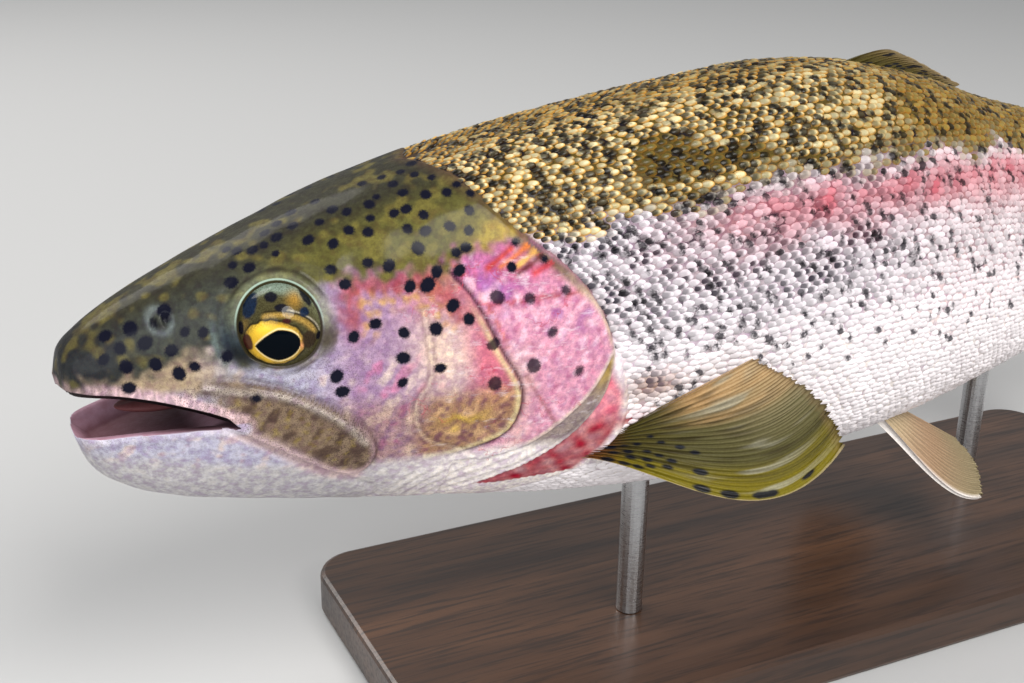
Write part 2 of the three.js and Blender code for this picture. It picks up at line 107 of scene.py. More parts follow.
# ------------------------------------------------------------------ curves and distances
def curve(points):
    """A smooth function through (x, value) points that never overshoots them."""
    x, value = np.array(points, float).T
    run = np.diff(x)
    slope = np.diff(value) / run
    tangent = np.zeros(len(x))
    tangent[0] = slope[0]
    tangent[-1] = slope[-1]
    turning = slope[:-1] * slope[1:] <= 0
    before = 2 * run[1:] + run[:-1]
    after = run[1:] + 2 * run[:-1]
    low = np.where(turning, 1.0, slope[:-1])
    high = np.where(turning, 1.0, slope[1:])
    tangent[1:-1] = np.where(turning, 0.0, (before + after) / (before / low + after / high))

    def at(places):
        places = np.clip(places, x[0], x[-1])
        k = np.clip(np.searchsorted(x, places, side="right") - 1, 0, len(x) - 2)
        t = (places - x[k]) / run[k]
        rest = (1 - t) ** 2
        return (value[k] * (1 + 2 * t) * rest + tangent[k] * run[k] * t * rest
                + value[k + 1] * t * t * (3 - 2 * t) + tangent[k + 1] * run[k] * t * t * (t - 1))

    return at


back = curve(BACK)
belly = curve(BELLY)
half_width = curve(HALF_WIDTH)
heading = curve(HEADING)
sag = curve(SAG)
lower_fullness = curve(LOWER_FULLNESS)


def widest(s):
    """The level at which the section at s is widest."""
    return (back(s) + belly(s)) / 2 + WIDEST_LEVEL * (back(s) - belly(s))


def section(s, turn, grow=0.0):
    """(y, z) of the body's plain section at s, moved outwards by grow."""
    across = np.cos(turn)
    up = np.sin(turn)
    fullness = np.where(up > 0, UPPER_FULLNESS, lower_fullness(s))
    scale = (np.abs(across) ** fullness + np.abs(up) ** fullness) ** (-1 / fullness)
    middle = widest(s)
    height = np.where(up > 0, back(s) - middle, middle - belly(s))
    return -(half_width(s) + grow) * across * scale, middle + (height + grow) * up * scale


def smoothstep(x, low, high):
    """0 below low, 1 above high, and smooth between; low may be the higher of the two."""
    t = np.clip((np.asarray(x, float) - low) / (high - low), 0, 1)
    return t * t * (3 - 2 * t)


def bell(x, width):
    """A smooth bump of height 1 at x = 0."""
    return np.exp(-(np.asarray(x, float) / width) ** 2)


def smoothed(points, chords=4, closed=False):
    """A smooth line through (s, z) points, in short chords."""
    knots = np.array(points, float)
    if closed:
        knots = np.vstack([knots[-1:], knots, knots[:2]])
    else:
        knots = np.vstack([2 * knots[0] - knots[1], knots, 2 * knots[-1] - knots[-2]])
    t = (np.arange(chords) / chords)[:, None]
    line = []
    for a, b, c, d in zip(knots[:-3], knots[1:-2], knots[2:-1], knots[3:]):
        line.append(0.5 * (2 * b + (c - a) * t + (2 * a - 5 * b + 4 * c - d) * t ** 2
                           + (3 * b - a - 3 * c + d) * t ** 3))
    if not closed:
        line.append(knots[-2:-1])
    return np.vstack(line)


def joined(*parts):
    """Arrays of s, y and z, or of other measures, as one array of points."""
    return np.stack(parts, -1)


def pairs(rows, columns):
    """Every row value with every column value, row by row, as two flat arrays."""
    return (values.ravel() for values in np.meshgrid(rows, columns, indexing="ij"))


def circle(count):
    """So many angles, evenly spaced round a circle."""
    return np.arange(count) * 2 * math.pi / count


def rise(turn):
    """Degrees above either side's middle, for any turn: 90 at the back, -90 at the belly."""
    return np.degrees(np.arcsin(np.sin(turn)))


def steepness(turn):
    """Degrees above or below either side's middle."""
    return np.degrees(np.arcsin(np.abs(np.sin(turn))))


def line_distance(s, z, line):
    """The distance from each (s, z) to a line, and how far along it the nearest place lies, 0 to 1."""
    best = np.full(np.shape(s), np.inf)
    along = np.zeros(np.shape(s))
    lengths = np.hypot(*np.diff(line, axis=0).T)
    start = 0.0
    for (s0, z0), (s1, z1), length in zip(line[:-1], line[1:], lengths):
        t = np.clip(((s - s0) * (s1 - s0) + (z - z0) * (z1 - z0)) / length ** 2, 0, 1)
        distance = np.hypot(s - s0 - t * (s1 - s0), z - z0 - t * (z1 - z0))
        closer = distance < best
        best = np.where(closer, distance, best)
        along = np.where(closer, (start + t * length) / lengths.sum(), along)
        start += length
    return best, along


def line_gap(s, z, points):
    """The distance from each (s, z) to the smooth line through some points."""
    return line_distance(s, z, smoothed(points))[0]


def outline_distance(s, z, outline):
    """The distance to a closed outline, negative inside it."""
    ring = np.vstack([outline, outline[:1]])
    distance, _ = line_distance(s, z, ring)
    inside = np.zeros(np.shape(s), bool)
    for (s0, z0), (s1, z1) in zip(ring[:-1], ring[1:]):
        crosses = (z0 > z) != (z1 > z)
        run = np.where(z1 == z0, 1.0, z1 - z0)
        inside ^= crosses & (s < (s1 - s0) * (z - z0) / run + s0)
    return np.where(inside, -distance, distance)


def waves(points, length, seed, count=9):
    """Smooth, even, seeded variation between about -1 and 1, with waves of about the given length."""
    rng = np.random.default_rng(seed)
    points = np.asarray(points, float)
    total = np.zeros(points.shape[:-1])
    for _ in range(count):
        direction = rng.normal(size=points.shape[-1])
        direction *= 2 * math.pi / length / np.linalg.norm(direction) * rng.uniform(0.7, 1.4)
        total += np.sin(points @ direction + rng.uniform(0, 2 * math.pi))
    return total / math.sqrt(count)


HEAD_SIDE = np.vstack([[(-20, 80), (NAPE - 4, 80)], smoothed([(NAPE, 30), *GILL_EDGE, (THROAT, -46)]),
                       [(THROAT - 4, -80), (-20, -80)]])
MAXILLA_LINE = smoothed(MAXILLA, closed=True)

# ------------------------------------------------------------------ the straight fish, bent into place
eye_boxes = {side: np.array([list(c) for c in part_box("eye_" + side)]) / MM for side in ("left", "right")}
eye_centres = {side: box.mean(0) for side, box in eye_boxes.items()}
SNOUT_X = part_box("head")[0].x / MM
MIDDLE_Y = (eye_centres["left"][1] + eye_centres["right"][1]) / 2
AXIS_Z = eye_centres["left"][2] - EYE_LEVEL
EYE_S = eye_centres["left"][0] - SNOUT_X
EYE_OUT = (eye_centres["right"][1] - eye_centres["left"][1]) / 2
EYE_RADIUS = (eye_boxes["left"][1][2] - eye_boxes["left"][0][2]) / 2

STEPS = np.arange(BODY_LENGTH + 101)
STEP_TURNS = np.radians(heading(STEPS[:-1] + 0.5))
SPINE_X = np.concatenate([[0], np.cumsum(np.cos(STEP_TURNS))])
SPINE_Y = np.concatenate([[0], np.cumsum(np.sin(STEP_TURNS))])


def place(points):
    """Points (s, y, z) of the straight fish, bent and moved to the frame, in metres."""
    s, y, z = np.asarray(points, float).T
    angle = np.radians(heading(s))
    x = np.interp(s, STEPS, SPINE_X) + np.minimum(s, 0) - y * np.sin(angle) + SNOUT_X
    side = np.interp(s, STEPS, SPINE_Y) + y * np.cos(angle) + MIDDLE_Y
    return joined(x, side, z + sag(s) + AXIS_Z) * MM


# ------------------------------------------------------------------ relief of the skin
def eye_gap(s, y, z):
    """How far a point of the head is outside the eyeball's surface."""
    return np.sqrt((s - EYE_S) ** 2 + (np.abs(y) - EYE_OUT) ** 2 + (z - EYE_LEVEL) ** 2) - EYE_RADIUS


def nostril_gaps(s, z):
    """The distances from each (s, z) to the middles of a side's two nostrils."""
    return [np.hypot(s - pit_s, (z - pit_z) * 0.8) for pit_s, pit_z in NOSTRILS]


def relief(s, turn):
    """How far the skin stands off the plain section, for each (s, turn)."""
    y, z = section(s, turn)
    gill = outline_distance(s, z, HEAD_SIDE)
    scaled = smoothstep(s - SCALE_START(rise(turn)), -1.2, 0.9)
    lift = -SKIN_DEPTH - (COAT_DEPTH - SKIN_DEPTH) * scaled
    lift += cover_relief(s, z, gill) + cheek_relief(s, z) + mouth_relief(s, z)

    # the eye's socket with its raised rim, the brow and the nostrils
    gap = eye_gap(s, y, z)
    lower = smoothstep(z, EYE_LEVEL - 4, EYE_LEVEL - 8)
    lift += (0.85 + 0.5 * lower) * bell(gap - 0.9 + 1.2 * lower, 1.1) - 0.3 * bell(gap - 3.6, 1.1)
    lift -= 4.5 * smoothstep(gap + 1.1 * lower, 0.25, -2.2)
    lift += 0.45 * bell(line_distance(s, z, BROW)[0], 2.2)
    for pit in nostril_gaps(s, z):
        lift += 0.18 * bell(pit - 1.55, 0.45) - smoothstep(pit, 1.25, 0.4)
    return lift + 0.07 * waves(joined(s, y, z), 9, 3) * (gill < 0)


def cover_relief(s, z, gill):
    """The gill cover swells towards its free edge and drops to the girdle behind it."""
    cover = smoothstep(z, 31, 26)
    swell = COVER_PROUD * smoothstep(s, 88, 122) * cover
    lift = swell * smoothstep(gill, 0.45, -0.55) * (0.72 + 0.28 * smoothstep(gill, -0.4, -2.5))
    lift -= 0.5 * cover * bell(gill - 0.9, 0.8) * (gill > -0.5)
    bone = line_gap(s, z, BONE_EDGE)
    behind_bone = (gill < 0) & (z < -3) & (s > 90) & (outline_distance(s, z, BONE_BACK) > 0)
    lift -= 0.55 * np.where(behind_bone, smoothstep(bone, 0, 0.9), 0) * smoothstep(gill, 0, -0.6)
    ribs = np.where(behind_bone | ((z < -33) & (s > 62) & (gill < 0)), 0.5 + 0.5 * np.cos(gill * 2.1), 0)
    lift += 0.22 * ribs * smoothstep(z, -20, -30) * smoothstep(s, 62, 84)
    return lift + 0.35 * bell(line_gap(s, z, GIRDLE_EDGE), 0.9) * smoothstep(z, 4, -4)


def cheek_relief(s, z):
    """The preopercle's ridge and groove, and the sunk seams of the other bones."""
    ridge, along = line_distance(s, z, smoothed(PREOPERCLE))
    front = outline_distance(s, z, PREOPERCLE_FRONT)
    ends = smoothstep(along, 0, 0.12) * smoothstep(along, 1, 0.8) * (ridge < RIDGE_REACH)
    lift = ends * (0.5 * bell(front + 0.9, 1.1) - 0.75 * bell(front - 0.6, 0.6))
    return lift - 0.25 * bell(line_gap(s, z, CHEEK_LINE), 0.6) - 0.3 * bell(line_gap(s, z, SUBOPERCLE), 0.55)


def mouth_relief(s, z):
    """The maxilla's plate with its ridge, the crease behind the lower jaw, and the lips."""
    plate = outline_distance(s, z, MAXILLA_LINE)
    free = smoothstep(s, 26, 40)
    lift = MAXILLA_PROUD * smoothstep(plate, 0.35, -1.1) * free - 0.5 * free * bell(plate - 0.8, 0.55)
    ridge, along = line_distance(s, z, smoothed(SUPRAMAXILLA))
    lift += 0.3 * bell(ridge, 1.0) * smoothstep(along, 1, 0.85)
    lift -= 0.5 * bell(line_gap(s, z, JAW_BACK), 0.8) * (plate > 0)
    lift += 0.35 * bell(line_gap(s, z, UPPER_LIP) - 1.2, 1.1) * smoothstep(s, 40, 30)
    return lift + 0.4 * bell(line_gap(s, z, LOWER_LIP) - 1.2, 1.2) * smoothstep(s, 40, 30)


BONE_BACK = np.vstack([smoothed(BONE_EDGE), [(60, -31), (60, 60), (128, 60)]])
PREOPERCLE_FRONT = np.vstack([smoothed(PREOPERCLE), [(60, -29), (60, 23)]])
GIRDLE_FRONT = np.vstack([smoothed(GIRDLE_EDGE), [(60, -46), (60, 8)]])
BROW = np.array([(34, 17), (42, 22.5), (52, 24.5), (62, 23)])


# ------------------------------------------------------------------ arc lengths, for scales and unwrap
TABLE_STEP = 2.0
ARC_REACH = 110.0               # the longest arc from the widest level that is looked up, up or down
TABLE_S = np.arange(0, BODY_LENGTH + 0.1, TABLE_STEP)
TABLE_TURN = np.radians(np.linspace(-90, 90, 181))
_y, _z = section(TABLE_S[:, None], TABLE_TURN[None, :])
_steps = np.hypot(np.diff(_y, axis=1), np.diff(_z, axis=1))
ARC = np.concatenate([np.zeros((len(TABLE_S), 1)), np.cumsum(_steps, axis=1)], axis=1)
ARC -= ARC[:, 90:91]            # measured from the widest level, up the back


def lookup(table, row, column):
    """A value between the four nearest ones of a table; row and column are fractional indices."""
    row = np.clip(row, 0, table.shape[0] - 1.001)
    column = np.clip(column, 0, table.shape[1] - 1.001)
    i = row.astype(int)
    j = column.astype(int)
    a = row - i
    b = column - j
    return ((table[i, j] * (1 - b) + table[i, j + 1] * b) * (1 - a)
            + (table[i + 1, j] * (1 - b) + table[i + 1, j + 1] * b) * a)


def arc_at(s, turn):
    """Arc length from the widest level to turn, which lies between -90 and 90 degrees."""
    return lookup(ARC, np.asarray(s) / TABLE_STEP, np.degrees(turn) + 90.0)


def arc_to(s, turn):
    """Arc length from the widest level to one turn, at every s."""
    return arc_at(s, np.full(np.shape(s), turn))


TURN_TABLE = np.array([np.interp(np.arange(-ARC_REACH, ARC_REACH + 1), row, TABLE_TURN) for row in ARC])


def turn_at(s, arc):
    """The turn that lies the given arc length up from the widest level."""
    return lookup(TURN_TABLE, np.asarray(s) / TABLE_STEP, np.asarray(arc) + ARC_REACH)


UNWRAP = 1 / 520                # of the unwrap, per mm
UNWRAP_START = 20               # room in the unwrap in front of the snout, in mm


def folded(turn):
    """Whether a turn is on the left side, and the turn of the same height on that side."""
    left = turn <= math.pi / 2
    return left, np.where(left, turn, math.pi - turn)


def unwrap(s, turn):
    """OFBake place of a point of the skin; turn runs from -90 degrees over the back to 270."""
    left, half_turn = folded(turn)
    from_ridge = arc_to(s, math.pi / 2) - arc_at(s, half_turn)
    from_ridge = np.where(left, -from_ridge, from_ridge)
    return joined((s + UNWRAP_START) * UNWRAP, 0.5 + from_ridge * UNWRAP)


# ------------------------------------------------------------------ markings
def tone(red, green, blue):
    """A colour given as on a screen, 0 to 255, as linear values."""
    c = np.array([red, green, blue], float) / 255
    return np.where(c <= 0.04045, c / 12.92, ((c + 0.055) / 1.055) ** 2.4)


def blend(below, above, share):
    """Two colours, or arrays of them, mixed by a share from 0 to 1."""
    return below + (above - below) * np.clip(share, 0, 1)[..., None]


def layered(ground, *layers):
    """A ground colour with layers of (colour, share) mixed over it, one after the other."""
    for colour, share in layers:
        ground = blend(ground, colour, share)
    return ground


OLIVE = tone(88, 86, 42)
SNOUT_OLIVE = tone(60, 64, 58)
# the crown's tone: its own darker olive, made darker still as painted shade on the top of the head
CROWN = tone(50, 50, 38)
CHEEK = tone(164, 136, 168)
UNDER_EYE = tone(182, 182, 202)
CREAM = tone(232, 206, 190)
ROSE = tone(216, 112, 132)
COVER_PINK = tone(214, 152, 178)
MAGENTA = tone(184, 110, 156)
BRONZE = tone(172, 134, 92)
YELLOW = tone(206, 176, 66)
ORANGE = tone(208, 96, 52)
TAN = tone(168, 150, 124)
MAXILLA_TONE = tone(132, 114, 94)
LIP = tone(210, 180, 186)
JAW_WHITE = tone(188, 187, 190)
RIDGE_BACK = tone(74, 70, 36)
GOLD_BACK = tone(120, 102, 46)
FLANK = tone(226, 212, 224)
BELLY_WHITE = tone(246, 240, 238)
FLANK_REAR = tone(238, 208, 210)
STRIPE = tone(208, 110, 122)
INK = tone(14, 15, 30)
VEIN = tone(186, 62, 84)
# the next two tones round the eye: painted shade in the crevice where the skin meets the eyeball, and a
# painted highlight along the eye's upper rim
LID_CREVICE_SHADE = tone(52, 46, 28)
LID_HIGHLIGHT = tone(178, 202, 186)
# the mouth's inside: a near-black painted shade for its roof and depths, then the dull pink of its flesh
MOUTH_SHADE = tone(12, 5, 7)
MOUTH_PINK = tone(78, 38, 42)

# the level at which the olive of the head and back gives way to the flank's colours
OLIVE_EDGE = curve([(0, -3), (12, -2), (30, 4.5), (39, 2), (45, 4), (60, 20), (80, 21), (110, 28), (160, 32),
                    (230, 36), (280, 34), (350, 24), (430, 13), (480, 12)])
STRIPE_LEVEL = curve([(120, 22), (150, 25), (230, 28), (280, 26), (350, 14), (430, 4), (480, 2)])
# by turn: how far behind the snout the scales start, past the gill cover's edge and over the nape
SCALE_START = curve([(-90, 96), (-60, 112), (-42, 129), (-28, 135), (-14, 133), (0, 127.5), (16, 121),
                     (31, 111), (39, 104), (60, 95.5), (90, 87)])

# the head's own spots, zone by zone: where along the head, at which turns, how many, radii in mm, and ink
SPOT_ZONES = [
    ((62, 94), (8, 30), 10, (1.3, 1.9), 1.0),       # the cheek behind the eye
    ((60, 86), (-6, 6), 5, (1.3, 1.8), 1.0),        # and below it
    ((96, 120), (-12, 19), 8, (1.6, 2.1), 0.9),     # the gill cover
    ((98, 117), (25, 40), 5, (1.1, 1.4), 1.0),      # and its top
    ((61, 96), (32, 52), 15, (1.3, 1.8), 1.0),      # over the cheek
    ((10, 42), (12, 60), 16, (1.2, 2.0), 1.0),      # the snout
    ((40, 99), (53, 80), 38, (1.0, 1.5), 1.0),      # the crown
]
JAW_SPOT = (42, -2, 1.8, 1.0)   # one sits on the upper jaw, under the front of the eye
SPOT_TRIES = 5                  # each spot takes the roomiest of so many places drawn
EYE_ROOM = 14.0                 # no spot comes nearer to the eye's middle than this
SPOT_REACH = 5                  # only points so near along the head are tried against a spot


def head_spots(seed):
    """Every spot of one side of the head as (s, turn, radius, ink), scattered with room between them."""
    rng = np.random.default_rng(seed)
    spots = [JAW_SPOT]
    middles = [np.array([JAW_SPOT[0], *section(np.array(JAW_SPOT[0]), np.radians(JAW_SPOT[1]))])]
    for reach, turns, count, radii, ink in SPOT_ZONES:
        for _ in range(count):
            s = rng.uniform(*reach, size=SPOT_TRIES)
            turn = rng.uniform(*turns, size=SPOT_TRIES)
            y, z = section(s, np.radians(turn))
            places = joined(s, y, z)
            room = np.linalg.norm(places[:, None] - np.array(middles), axis=-1).min(1)
            room[np.hypot(s - EYE_S, z - EYE_LEVEL) < EYE_ROOM] = -1
            best = np.argmax(room)
            middles.append(places[best])
            spots.append((s[best], turn[best], rng.uniform(*radii), ink))
    return spots


HEAD_SPOTS = {False: head_spots(5), True: head_spots(11)}      # by whether it is the right side


def spots_near(points, left):
    """For points of the head, the distance to the nearest spot's border (negative inside) and its ink."""
    edge = np.full(len(points), FAR)
    ink = np.ones(len(points))
    for mirrored in (False, True):
        mine = np.flatnonzero(left != mirrored)
        if len(mine) == 0:
            continue
        for s, turn, radius, strength in HEAD_SPOTS[mirrored]:
            y, z = section(np.array(s), np.radians(turn))
            y = -y if mirrored else y
            close = mine[np.abs(points[mine, 0] - s) < SPOT_REACH]
            offset = points[close] - (s, y, z)
            lean = spot_lean(s, turn)
            along = offset[:, 0] * math.cos(lean) + offset[:, 2] * math.sin(lean)
            across = np.sqrt(np.maximum((offset ** 2).sum(1) - along ** 2, 0))
            distance = np.hypot(along * 0.92, across * 1.1) - radius
            nearer = distance < edge[close]
            edge[close] = np.where(nearer, distance, edge[close])
            ink[close] = np.where(nearer, strength, ink[close])
    return edge, ink


# fiery strokes at the gill cover's upper rear: where each starts and ends, and its tone
STREAKS = [
    ((97, 21), (103, 25), tone(204, 74, 52)),
    ((100, 21), (108, 26), tone(228, 128, 58)),
    ((104, 21), (112, 26), tone(242, 190, 98)),
    ((104, 19), (112, 24), tone(98, 40, 36)),
    ((108, 19), (114, 22), tone(196, 66, 74)),
]


def spot_lean(s, turn):
    """A spot's own lean, different from its neighbours'."""
    return math.sin(s * 12.9 + turn * 3.7) * 1.2


BODY_PITCH = (3.6, 3.0)         # mean spacing of the body's marks along and round it
BODY_ROWS = (112, 80)
BODY_START = (80, -120)         # where the marks' lattice begins, in s and in arc
MARK_SHIFT = 0.55               # how far a mark strays from its place, in pitches
MARK_SIZES = (0.75, 1.25)
MARK_LEAN = (62, 13)            # in degrees: the mean, and how much it varies
MARK_LENGTH = 1.35
MARK_WIDTH = 0.62


def body_marks(s, arc, seed):
    """The distance to the nearest mark of the back and flank, at (s, arc) from the widest level."""
    rng = np.random.default_rng(seed)
    shift = rng.uniform(-MARK_SHIFT, MARK_SHIFT, size=(2, *BODY_ROWS))
    size = rng.uniform(*MARK_SIZES, size=BODY_ROWS)
    odds = rng.uniform(size=BODY_ROWS)
    lean = np.radians(rng.normal(*MARK_LEAN, size=BODY_ROWS))
    edge = np.full(np.shape(s), FAR)
    i0 = np.floor((s - BODY_START[0]) / BODY_PITCH[0]).astype(int)
    j0 = np.floor((arc - BODY_START[1]) / BODY_PITCH[1]).astype(int)
    for di in (-1, 0, 1):
        for dj in (-1, 0, 1):
            i = np.clip(i0 + di, 0, BODY_ROWS[0] - 1)
            j = np.clip(j0 + dj, 0, BODY_ROWS[1] - 1)
            centre_s = BODY_START[0] + (i + 0.5 + shift[0, i, j] + 0.5 * (j % 2)) * BODY_PITCH[0]
            centre_arc = BODY_START[1] + (j + 0.5 + shift[1, i, j]) * BODY_PITCH[1]
            on_back = smoothstep(centre_arc, 26, 36)
            keep = 0.5 * smoothstep(centre_arc, -34, -2) * (1 - 0.5 * smoothstep(centre_s, 200, 300))
            keep = np.maximum(keep, 0.3 * on_back)
            ds = s - centre_s
            da = arc - centre_arc
            along = ds * np.cos(lean[i, j]) - da * np.sin(lean[i, j])
            across = ds * np.sin(lean[i, j]) + da * np.cos(lean[i, j])
            length = (MARK_LENGTH + 0.1 * on_back) * size[i, j]
            width = (MARK_WIDTH + 0.4 * on_back) * size[i, j]
            shape = (np.hypot(along / length, across / width) - 1) * width
            edge = np.where((odds[i, j] < keep) & (shape < edge), shape, edge)
    return edge


def stripe_share(s, z, where):
    """How much of the rose stripe lies at each place of the flank."""
    offset = z - STRIPE_LEVEL(s) + 1.2 * waves(where, 14, 21)
    stripe = np.where(offset > 0, bell(offset, 5.5), bell(offset, 10)) * smoothstep(s, 122, 182)
    return np.clip(stripe * (0.88 + 0.12 * waves(where, 11, 23)), 0, 1)


def tail_fade(s, z, where):
    """How far the body's colours have given way to the tail fin's olive."""
    return smoothstep(s - 0.012 * z ** 2 + 3 * waves(where, 8, 24), 458, 474)


def brown_patch(s, z):
    """How much of the brown patch over the pectoral fin's root lies at each place."""
    return bell(s - 141, 9) * bell(z + 16, 5)


class Places:
    """Places on the skin, with what the painters read there: waves of four lengths, distances, levels."""

    def __init__(self, s, turn, y, z):
        self.s = s
        self.z = z
        self.turn = turn
        self.where = joined(s, y, z)
        self.wobble = waves(self.where, 14, 21)
        self.fine = waves(self.where, 4.5, 22)
        self.blotch = waves(self.where, 6.5, 41)
        self.small = waves(self.where, 2.6, 42)
        self.gill = outline_distance(s, z, HEAD_SIDE)
        self.front = outline_distance(s, z, PREOPERCLE_FRONT)
        self.plate = outline_distance(s, z, MAXILLA_LINE)
        self.edge = z - OLIVE_EDGE(s)
        self.gap = eye_gap(s, y, z)
        self.low = smoothstep(z + self.wobble, -6, -14)
        jaw = np.clip(s, 0, 60)
        self.under = smoothstep(z + 0.5 * self.wobble, -15 - 0.18 * jaw, -21 - 0.16 * jaw)


def paint_trunk(p):
    """Dark ridge, gold back, lilac flank with rose stripe, white belly, red girdle, painted shadow behind the
    gill cover.
    """
    s, z, wobble = p.s, p.z, p.wobble
    level = z + 2.0 * wobble + 1.0 * p.fine
    top = blend(GOLD_BACK, RIDGE_BACK, smoothstep(steepness(p.turn), 58, 84))
    girdle = smoothstep(p.gill, -0.5, 0.5) * smoothstep(z, 7, 0)
    girdle *= smoothstep(line_gap(s, z, GIRDLE_EDGE), 0, 2.5) * (s < 136) * (z > -42)
    before_girdle = outline_distance(s, z, GIRDLE_FRONT) < 0
    flush = blend(tone(222, 112, 134), tone(164, 22, 50), smoothstep(z + 2 * wobble, -16, -30))
    return layered(
        BELLY_WHITE,
        (FLANK, smoothstep(level, -26, 6) * smoothstep(s, 480, 230)),
        (FLANK_REAR, 0.8 * smoothstep(s, 190, 260) * smoothstep(level, -30, 0)),
        (STRIPE, stripe_share(s, z, p.where)),
        (top, smoothstep(level, OLIVE_EDGE(s) - 2.5, OLIVE_EDGE(s) + 2.5)),
        (tone(150, 104, 76), 0.85 * brown_patch(s, z)),
        (tone(168, 26, 46), 0.9 * bell(s - 137, 6) * bell(z + 25 + 0.3 * wobble, 2.6)),
        (flush, (0.85 + 0.1 * p.fine) * girdle * before_girdle),
        (tone(122, 106, 58), 0.85 * tail_fade(s, z, p.where)),
        # painted shadow: a dark band just behind the gill cover's free edge, over the upper side
        (tone(84, 66, 52), 0.9 * smoothstep(p.gill, 1.3, 0.5) * (s < 134) * (z > 0)))


def paint_cheek(p):
    """Silver under the eye; rose, cream and bronze on the cheek."""
    s, z, wobble, fine, blotch, small = p.s, p.z, p.wobble, p.fine, p.blotch, p.small
    bronze = layered(
        BRONZE,
        (tone(126, 88, 84), smoothstep(small + 0.6 * blotch, -0.3, 1.2)),
        (tone(208, 170, 122), 0.8 * smoothstep(fine - 0.5 * small, 0.3, 1.4)))
    return layered(
        UNDER_EYE,
        (CHEEK, smoothstep(s, 50, 66)),
        (ROSE, 0.55 * bell(z - 16 - wobble, 7) * smoothstep(s, 70, 84)),
        (tone(206, 112, 158), 0.6 * smoothstep(blotch + 0.4 * small, 0.5, 1.4) * smoothstep(s, 62, 70)),
        (tone(222, 204, 194), 0.75 * smoothstep(-blotch + 0.4 * small, 0.2, 1.2) * smoothstep(z, 8, -2)),
        (tone(150, 118, 160), 0.4 * smoothstep(small - 0.4 * blotch, 0.5, 1.5)),
        (tone(182, 138, 88), 0.8 * bell(s - 85, 6) * bell(p.edge + 3 + blotch, 3)),
        (tone(84, 64, 74), 0.6 * bell(p.edge + 2.5, 2.6) * smoothstep(small + blotch, -0.3, 0.9)
         * smoothstep(s, 60, 66)),
        (CREAM, bell(s - 86 + wobble, 8) * bell(z - 1, 11)),
        (ROSE, 0.85 * smoothstep(s + wobble, 88, 97) * smoothstep(z, -20, -9)),
        (tone(164, 66, 70), 0.75 * bell(p.front + 4.5 + small, 2.8) * smoothstep(z + blotch, 4, 11)),
        (tone(208, 168, 92), 0.7 * bell(p.front + 9 + blotch, 2.2) * smoothstep(z, 4, 10)
         * smoothstep(small, -0.6, 0.8)),
        (bronze, p.low * (0.45 * smoothstep(s, 56, 70) + 0.45 * smoothstep(s + wobble, 78, 84))),
        (YELLOW, 0.8 * bell(z + 17.5 + fine, 1.7) * bell(s - 91, 6)))


def paint_cover(p):
    """The gill cover in rose, mottled pale and dark."""
    s, z, wobble, fine, blotch, small = p.s, p.z, p.wobble, p.fine, p.blotch, p.small
    return layered(
        COVER_PINK,
        (MAGENTA, smoothstep(z + wobble, 10, 19) * smoothstep(s, 118, 100)),
        (tone(246, 196, 216), 0.5 * bell(z - 9, 2.2) * bell(s - 104, 7)),
        (tone(166, 62, 66), 0.8 * bell(z - 12.5 - 0.06 * (s - 100) - 0.4 * small, 0.8)
         * smoothstep(s, 94, 98)),
        (ORANGE, 0.6 * bell(p.front - 2.4 - 0.4 * small, 0.6) * smoothstep(z, -2, 4)),
        (tone(240, 206, 226), 0.6 * smoothstep(small + 0.5 * blotch, 0.5, 1.6)),
        (tone(190, 96, 138), 0.5 * smoothstep(-small - 0.5 * blotch, 0.6, 1.6)),
        (CREAM, 0.45 * bell(s - 105 + wobble, 3.5) * smoothstep(z, 5, -4)),
        (tone(186, 66, 84), 0.6 * bell(s - 105, 7) * bell(z - 20, 3) * smoothstep(small, -1.0, 0.4)),
        (tone(170, 108, 182), 0.5 * bell(s - 96, 6) * bell(z - 17, 5) * smoothstep(small, -0.6, 0.8)),
        (tone(252, 214, 230), 0.55 * smoothstep(wobble + fine, 0.9, 1.8)),
        (tone(150, 92, 168), 0.45 * smoothstep(wobble - fine, 0.9, 1.9) * smoothstep(z, 0, 8)))


def paint_bones(p, side):
    """The side of the head with the lines of its bones, the membrane and the gill cover's pale rim."""
    s, z = p.s, p.z
    ridge = line_gap(s, z, PREOPERCLE)
    inner = line_gap(s, z, CHEEK_LINE)
    bone = line_gap(s, z, BONE_EDGE)
    behind_bone = (outline_distance(s, z, BONE_BACK) > 0) & (z < -2) & (s > 90)
    membrane = blend(tone(150, 136, 132), tone(158, 134, 74), smoothstep(z, -18, -8))
    high = smoothstep(z, 6, 18)
    rim = np.where(p.gill < 0, bell(p.gill + 0.6 + 0.7 * high, 0.7 + 0.9 * high), 0) * smoothstep(z, -4, 0)
    return layered(
        side,
        (tone(214, 200, 152), 0.85 * bell(p.front + 0.9, 0.7) * (ridge < RIDGE_REACH) * smoothstep(z, 17, 4)),
        (tone(60, 20, 26), 0.95 * bell(p.front - 0.5, 0.6) * (ridge < RIDGE_REACH)),
        (tone(112, 84, 76), 0.4 * bell(inner - 0.8, 0.5)),
        (tone(222, 206, 176), 0.4 * bell(inner, 0.4)),
        (tone(140, 84, 84), 0.6 * bell(line_gap(s, z, SUBOPERCLE), 0.6)),
        (membrane, smoothstep(bone, 0, 0.8) * behind_bone),
        (tone(226, 214, 196), 0.8 * bell(bone, 0.6) * smoothstep(z, 0, -3)),
        (blend(tone(214, 196, 168), OLIVE, smoothstep(z, 10, 20)), 0.85 * rim))


